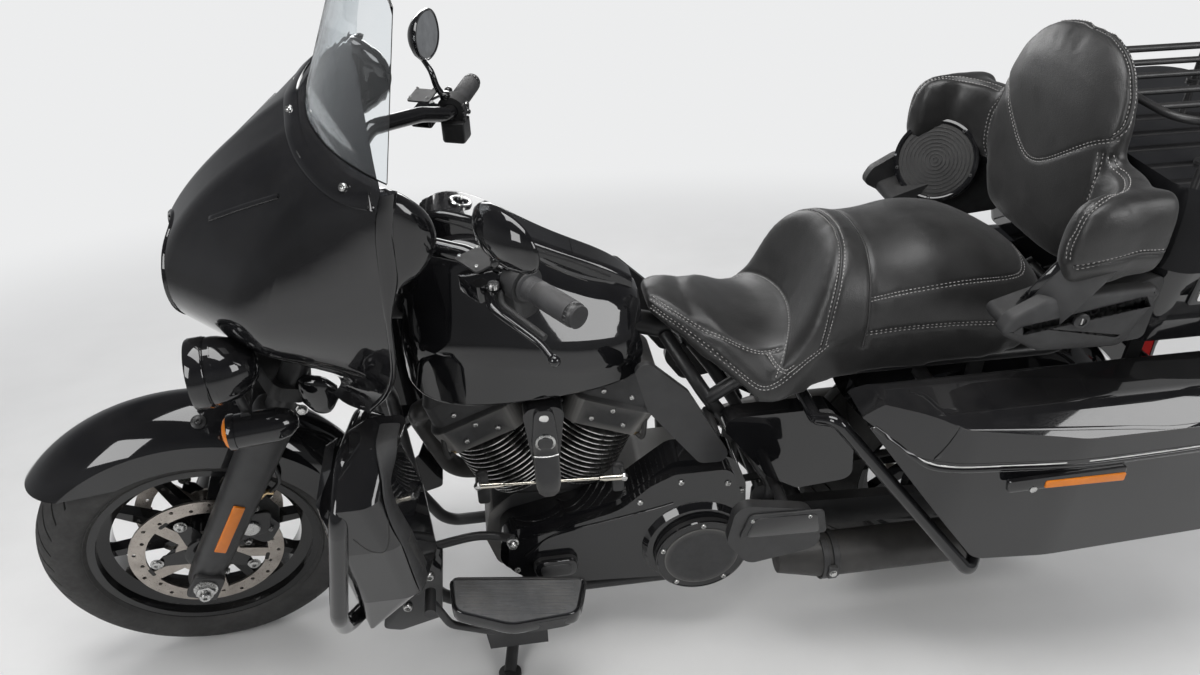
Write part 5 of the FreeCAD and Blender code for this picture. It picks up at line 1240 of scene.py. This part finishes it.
def make_tank_trim():
    """Edge strips of the console and the tank, and the knob on the console."""
    console = skin_of("tank_console")
    tank = skin_of("fuel_tank")
    trim = Piece("console_trims", satin_black)
    for s in SIDES:
        strip(trim.use(moulded), console, flip([(1084, 24, 1035), (1040, 40, 1030), (985, 40, 1004),
            (940, 39, 980), (880, 38, 950), (820, 37, 922), (760, 32, 886)], s), 4, 1.4)
        strip(trim.use(tyre_black), tank, flip([(1094, 44, 1000), (1040, 70, 1000), (980, 66, 975),
            (930, 62, 950), (860, 58, 915), (800, 54, 880), (730, 44, 830)], s), 3, 0.8)
    at, normal = console.ray_cast(Vector((1020, 0, 1200)), -UP)[:2]
    trim.use(chrome).lathe([(21, -1), (21, 3), (19, 5), (15, 5), (14, 3.4)], at, normal, 44)
    trim.use(gloss_black).lathe([(14, 2), (13, 5), (9, 9), (0, 9.6)], at, normal, 36)
    trim.use(steel).plate(block(2, 9, 1), at + normal * 9.4, FORWARD, LEFT, 2, 0.5)
    trim.done(40)


make_fairing_trim()
make_controls()
make_tank_trim()

# Engine and foot controls

def make_engine():
    """Fin edges, engine bolts, primary and horn cover trims, and the shift linkage."""
    crank = Vector((900, 0, 290))
    edges = Piece("cylinder_fin_edges", fin_edge)
    bolts = Piece("engine_bolts", steel)
    rockers = skin_of("rocker_covers")
    lean = math.radians(22.5)
    sweep = [math.radians(-64 + 128 * k / 72) for k in range(73)]
    for s in SIDES:
        axis = Vector((s * math.sin(lean), 0, math.cos(lean)))
        fore = Vector((axis.z, 0, -axis.x)) * s
        for i in range(13):
            foot = crank + axis * (134 + 12.615 * i)
            reach = 94 * (0.82 + 0.18 * min(1, i / 4))
            for y in SIDES:
                run = [foot + fore * math.sin(a) * (reach + 0.3) + LEFT * y * math.cos(a) * (reach + 0.3)
                    for a in sweep]
                run = [q for q in run if (q.x - crank.x) * s > 6]
                if len(run) > 3:
                    low, high = axis * 0.4, axis * 2.6
                    edges.rings([[q + low, q + high, q + high - (q - foot).normalized(),
                        q + low - (q - foot).normalized()] for q in run])
        for y in SIDES:
            for along, out in ((322, -34), (322, 34), (384, -30), (384, 30), (352, 0)):
                where = crank + axis * along + fore * out
                stud(bolts.use(steel), rockers, where.x, where.z, y, 5.5)
            where = crank + axis * 306 + fore * 60
            bolts.use(brass).lathe([(8, 0), (8, 10), (6, 12), (6, 26), (0, 27)], where + LEFT * 66 * y,
                fore * 0.5 + LEFT * y, 6)
            bolts.use(tyre_black).tube([where + LEFT * 74 * y + fore * 4, where + LEFT * 96 * y + fore * 24,
                where + LEFT * 80 * y + fore * 30 + UP * 60, where + LEFT * 40 * y + fore * 10 + UP * 110],
                5, 10, 6)
    primary = skin_of("primary_cover")
    for x, z in ((972, 360), (935, 368), (826, 398), (720, 419), (636, 462), (538, 446), (980, 262),
            (930, 216), (850, 200), (760, 190), (500, 400)):
        stud(bolts.use(steel), primary, x, z, 1, 6.4)
    derby_x, derby_z, bolt_ring = 591, 270, 88
    for k in range(5):
        a = math.radians(90 + 72 * k)
        bolts.bolt((derby_x + bolt_ring * math.cos(a), 185.6, derby_z + bolt_ring * math.sin(a)), LEFT, 6)
    bolts.done(36)
    edges.done(30)

    covers = Piece("primary_cover_trims", gloss_black)
    covers.use(gloss_black).lathe([(98.4, -4), (99.6, -2), (98.6, 1.6), (96, 2.6), (94.4, 1.2), (94.4, -1)],
        (derby_x, 184.6, derby_z), LEFT, 72)
    covers.use(crackle).lathe([(80, 0), (80, 2.2), (77, 3.4), (60, 3.4), (30, 3.4), (8, 3.4)],
        (derby_x, 185.4, derby_z), LEFT, 64)
    covers.use(gloss_black).plate(taper((42, -24, 22), (46, 24, 22)), (899, 168, 269), -FORWARD, UP, 9, 4)
    covers.use(satin_black).plate(taper((32, -16, 15), (34, 16, 15)), (899, 176.6, 269), -FORWARD, UP,
        3, 1.4)
    strip(covers.use(gloss_black), primary, [(960, 158, 300), (900, 158, 352), (800, 158, 372),
        (700, 158, 392), (650, 158, 404)], 7, 3)
    covers.done(40)

    horn = Piece("horn_cover_trims", gloss_black)
    horn.use(gloss_black).plate([(18, 90, 20), (-18, 90, 20), (-26, 10, 12), (-20, -74, 10), (20, -74, 10),
        (26, 10, 12)], (905, 152, 594), -FORWARD, UP, 8, 4)
    eye = (905, 159, 606)
    horn.use(steel).lathe([(20, 0), (20, 3), (18, 4.6), (16.6, 4.6), (16, 3)], eye, LEFT, 44)
    horn.use(gloss_black).lathe([(16, 2), (14, 4), (0, 5)], eye, LEFT, 40)
    horn.use(chrome).lathe([(15, 0), (15, 5), (12, 9), (6, 11), (0, 11.4)], (905, 150, 664), LEFT, 36)
    tongue = ((604, 157, 22), (575, 163, 24), (545, 178, 25), (522, 187.5, 24), (504, 187.5, 20),
        (492, 184, 11))
    horn.use(crackle).rings([[Vector((905 + half * power(math.cos(a), 0.6),
        y + 4.2 * power(math.sin(a), 0.6), z)) for a in turns(28)] for z, y, half in tongue])
    horn.use(steel).tube([(881, 165, 577), (905, 167, 575), (929, 165, 577)], 1.7, 8, 4)
    horn.done(40)

    linkage = Piece("shift_linkage", nickel)
    front, rear = Vector((1036, 176, 528)), Vector((760, 176, 512))
    linkage.use(nickel).tube([front, rear], 3.1, 12, 1)
    for end, toward in ((front, rear), (rear, front)):
        along = (toward - end).normalized()
        linkage.use(nickel).lathe([(6.4, 0), (6.4, 36), (5, 40), (5, 44), (3, 46)], end, along, 12)
        linkage.use(steel).lathe([(0, -8), (6, -6), (8.4, 0), (6, 6), (0, 8)], end - along * 4, LEFT, 20)
        linkage.use(steel).lathe([(5, 0), (5, 22), (0, 22)], end - along * 4 - LEFT * 24, LEFT, 16)
    for end, ahead, foot in ((rear, 4, -60), (front, -4, -70)):
        linkage.use(satin_black).plate(taper((12, foot, 8), (12, 14, 10)),
            end - LEFT * 30 + FORWARD * ahead, -FORWARD, UP, 8, 2)
    linkage.done(40)


BOARD_RISE = math.radians(9.5)
BOARD_ALONG = Vector((math.cos(BOARD_RISE), 0, math.sin(BOARD_RISE)))


def make_boards():
    """Footboard pads, rims and brackets, and the passenger boards' panels."""
    pads = Piece("footboard_pads", mat_rubber)
    rims = Piece("footboard_rims", gloss_black)
    plan = [(130, 240, 10), (124, 316, 26), (20, 350, 70), (-106, 324, 26), (-130, 240, 10)]
    for s in SIDES:
        at = Vector((980, 0, 324.6))
        outline = [(u, y * s, r) for u, y, r in plan]
        pads.use(mat_rubber).plate(outline, at, BOARD_ALONG, LEFT, 6, 2)
        for k in range(10):
            y = 250 + 8.6 * k
            half = 118 if y < 306 else 118 - (y - 306) * 1.9
            pads.use(mat_rubber).tube([at + BOARD_ALONG * -half * 0.94 + LEFT * y * s + UP * 6.2,
                at + BOARD_ALONG * half + LEFT * y * s + UP * 6.2], 2.4, 8, 1, 0.7)
        edge = [at + BOARD_ALONG * p.x + LEFT * p.y - UP * 8
            for p in rounded([(u * 1.03, (y + 4) * s, r) for u, y, r in plan], 6)]
        count = len(edge)
        rings = []
        for i, here in enumerate(edge):
            along = (edge[(i + 1) % count] - edge[i - 1]).normalized()
            side = along.cross(UP)
            rings.append([here + side * 3 * math.cos(a) + UP * 15 * power(math.sin(a), 0.6)
                for a in turns(12)])
        rims.rings(rings, False, True)
    pads.done(40)
    rims.done(50)

    brackets = Piece("footboard_brackets", gloss_black)
    for s in SIDES:
        outline = [((1200 - x) * s, z - 280, r) for x, z, r in ((1121, 396, 16), (1144, 196, 14),
            (1232, 168, 24), (1268, 180, 14), (1258, 226, 20), (1190, 300, 30), (1150, 400, 14))]
        brackets.use(gloss_black).plate(outline, (1200, 194 * s, 280), FORWARD * -s, UP, 8, 2.5)
        for x, z in ((1156, 325), (1210, 241)):
            brackets.use(steel).bolt((x, 202 * s, z), LEFT * s, 10, 8)
        brackets.use(steel).lathe([(12, 0), (12, 6), (9, 8), (9, 14), (6, 18), (0, 19)],
            (984, 206 * s, 400), LEFT * s, 24)
        brackets.use(satin_black).tube([(1148, 190 * s, 392), (1060, 180 * s, 398), (1010, 182 * s, 392),
            (984, 200 * s, 400)], 9, 14, 5)
    brackets.done(40)

    rests = Piece("passenger_board_panels", moulded)
    for s in SIDES:
        base = Vector((476, 312.3 * s, 470))
        shape = [(-92, -28, 8), (-80, 34, 14), (64, 40, 14), (82, -20, 8)]
        rests.use(moulded).side_plate(shape, base, s, 4, 1.6)
        rests.use(gloss_black).side_plate([(u * 0.84, v * 0.8, r) for u, v, r in shape],
            base + LEFT * 3.8 * s, s, 1.4, 0.8)
        for x, z in ((535, 496), (423, 492)):
            rests.use(steel).bolt((x, 316 * s, z), LEFT * s, 4.2)
        rests.use(satin_black).tube([(556, 300 * s, 426), (396, 300 * s, 412)], 8, 16, 1)
        for x, z in ((540, 425), (410, 413)):
            rests.use(satin_black).lathe([(11, -12), (11, 12)], (x, 300 * s, z), FORWARD, 24)
    rests.done(40)


# Bags, case and tail

def make_luggage_trim():
    """Trims of the saddlebags, the top case and the speaker pods."""
    trim = Piece("saddlebag_trims", gloss_black)
    parts = Piece("saddlebag_latches", gloss_black)
    for s in SIDES:
        side = "left" if s > 0 else "right"
        lid = skin_of("saddlebag_lid_" + side)
        bag = skin_of("saddlebags")
        seam = flip([(334, 330, 684), (312, 356, 668), (286, 372, 650), (247, 378, 618), (202, 382, 615),
            (94, 384, 620), (-59, 384, 624), (-258, 384, 630), (-430, 372, 634)], s)
        strip(trim.use(chrome), bag, [p - UP for p in seam], 4, 1.4, 6)
        strip(trim.use(gloss_black), bag, [p - UP * 10 for p in seam], 10, 3, 6)
        creases = Piece(side + "_lid_creases", gloss_shell, CHASSIS, side + "_bag_lid")
        for crease in ([(300, 280, 724), (256, 268, 732), (227, 284, 732), (213, 317, 725), (184, 350, 707),
                (146, 356, 703), (44, 364, 696), (-51, 371, 691), (-142, 377, 686), (-225, 382, 680),
                (-400, 372, 684)], [(184, 350, 707), (196, 347, 664), (214, 338, 619)]):
            strip(creases, lid, flip(crease, s), 7, 2.6, 6)
        creases.done(50)
        at = bag.ray_cast(Vector((-20, 500 * s, 585)), LEFT * -s)[0]
        parts.use(gloss_black).side_plate([(111, 13, 6), (106, -15, 8), (-122, -11, 6), (-118, 19, 6)],
            at, s, 9, 3)
        parts.use(steel).lathe([(7, 0), (7, 2), (5, 3), (0, 3)],
            at + FORWARD * 58 - UP * 11 + LEFT * 8.6 * s, LEFT * s, 24)
        parts.use(amber).side_plate([(-84, -13, 3), (72, -10, 3), (72, 6, 3), (-84, 5, 3)],
            at - FORWARD * 34 + LEFT * 8.8 * s + UP, s, 3, 1)
    trim.done(50)
    parts.done(40)

    case = Piece("top_case_trims", gloss_black)
    box = skin_of("top_case")
    for s in SIDES:
        for x in (-220, -440):
            at = box.ray_cast(Vector((x, 600 * s, 932)), Vector((0, -s, 0)))[0]
            if at is None:
                continue
            case.use(gloss_black).plate(taper((26, -34, 8), (22, 30, 8)), at, FORWARD * -s, UP, 8, 3)
            case.use(chrome).plate(taper((14, -24, 5), (12, 20, 5)), at + LEFT * 7.6 * s, FORWARD * -s,
                UP, 4, 1.6)
    around = [(-134, 0), (-134, 200), (-150, 290), (-200, 322), (-360, 325), (-520, 318), (-590, 270),
        (-606, 160), (-606, 0)]
    seam = 962
    around += [(x, -y) for x, y in around[-2::-1]]
    strip(case.use(chrome), box, [(x, y, seam) for x, y in around], 4, 1.6, 4)
    strip(case.use(gloss_black), box, [(x, y, seam - 10) for x, y in around], 12, 3, 4)
    case.done(50)

    pods = Piece("speaker_grilles", satin_black)
    panels = Piece("speaker_pod_panels", moulded)
    for s in SIDES:
        at = Vector((10, 235 * s, 945))
        aim = Vector((0.56, -0.7 * s, 0.42)).normalized()
        pods.use(gloss_black).lathe([(86.6, -6), (88, -2), (87, 4), (82, 6), (78, 4.4), (76, 2)], at,
            aim, 64)
        pods.use(tyre_black).lathe([(77, 1), (77, 2.4), (66, 4), (0, 6)], at, aim, 56)
        u, v = across_of(aim)
        for k in range(9):
            pods.use(satin_black).lathe([(r - 8 * k, h + 0.3 * k)
                for r, h in ((70, 3.2), (70, 5.2), (68.6, 5.4), (68.6, 3.2))], at, aim, 56, True)
        for k in range(5):
            a = 2 * math.pi * k / 5 + 0.4
            pods.use(satin_black).bolt(at + (u * math.cos(a) + v * math.sin(a)) * 80 + aim * 4, aim, 4)
        shape = [(80, -48, 50), (-76, -54, 24), (-116, 50, 12), (-104, 64, 12), (90, 58, 40), (142, 28, 26),
            (160, -4, 20)]
        panels.use(moulded).side_plate(shape, (-20, 294 * s, 880), s, 26, 8, 6, 7)
        panels.use(satin_black).lathe([(14, 0), (14, 6), (11, 8), (8, 8), (8, 6), (0, 6)],
            (6, 326 * s, 898), LEFT * s, 32)
        panels.use(steel).plate(block(1.4, 6, 0.6), (6, 332 * s, 898), FORWARD * -s, UP, 1, 0.3)
    pods.done(40)
    panels.done(50)


def make_tail():
    """Rear signals, tail lamp and muffler clamps."""
    tail = Piece("rear_signal_lenses", amber)
    rim = Piece("rear_lamp_trims", gloss_black)
    for s in SIDES:
        centre = Vector((-404, 158 * s, 612))
        rim.use(gloss_black).lathe([(30.6, -6), (32, -4), (32, 3), (30, 5), (27, 5)], centre, -FORWARD, 40)
        rim.use(gloss_black).lathe([(30.6, 0), (28, -12), (18, -28), (8, -34)], centre + FORWARD * 46,
            -FORWARD, 36)
        tail.lathe([(28, 0), (27, 5), (22, 10), (12, 13.6), (0, 14.6)], centre - FORWARD, -FORWARD, 36)
        rim.use(gloss_black).tube([(-300, 190 * s, 612), (-330, 186 * s, 612), (-372, 166 * s, 612)], 9,
            14, 5)
    tail.done(50)
    rim.use(gloss_black).plate(taper((62, -44, 16), (56, 46, 20)), (-412, 0, 611), -LEFT, UP, 8, 3)
    rim.use(red_lens).plate(taper((61, -43, 16), (55, 45, 20)), (-362, 0, 611), -LEFT, UP, 50, 2)
    rim.use(red_lens).plate(taper((52, -34, 14), (46, 38, 16)), (-419, 0, 611), -LEFT, UP, 8, 3)
    rim.done(40)
    mufflers = Piece("muffler_clamps", satin_black)
    for s in SIDES:
        for x, r in ((352, 48.6), (330, 47.6)):
            mufflers.use(satin_black).lathe([(r, -7), (r + 2, -6), (r + 2, 6), (r, 7)], (x, 236 * s, 289),
                FORWARD, 48, True)
        mufflers.use(satin_black).plate(block(10, 16, 4), (341, 282 * s, 289), FORWARD * -s, UP, 9, 2)
        mufflers.use(steel).bolt((341, 290 * s, 289), LEFT * s, 6, 6, "hex")
    mufflers.done(40)


make_engine()
make_boards()
make_luggage_trim()
make_tail()

bpy.context.scene.view_settings.view_transform = "Standard"
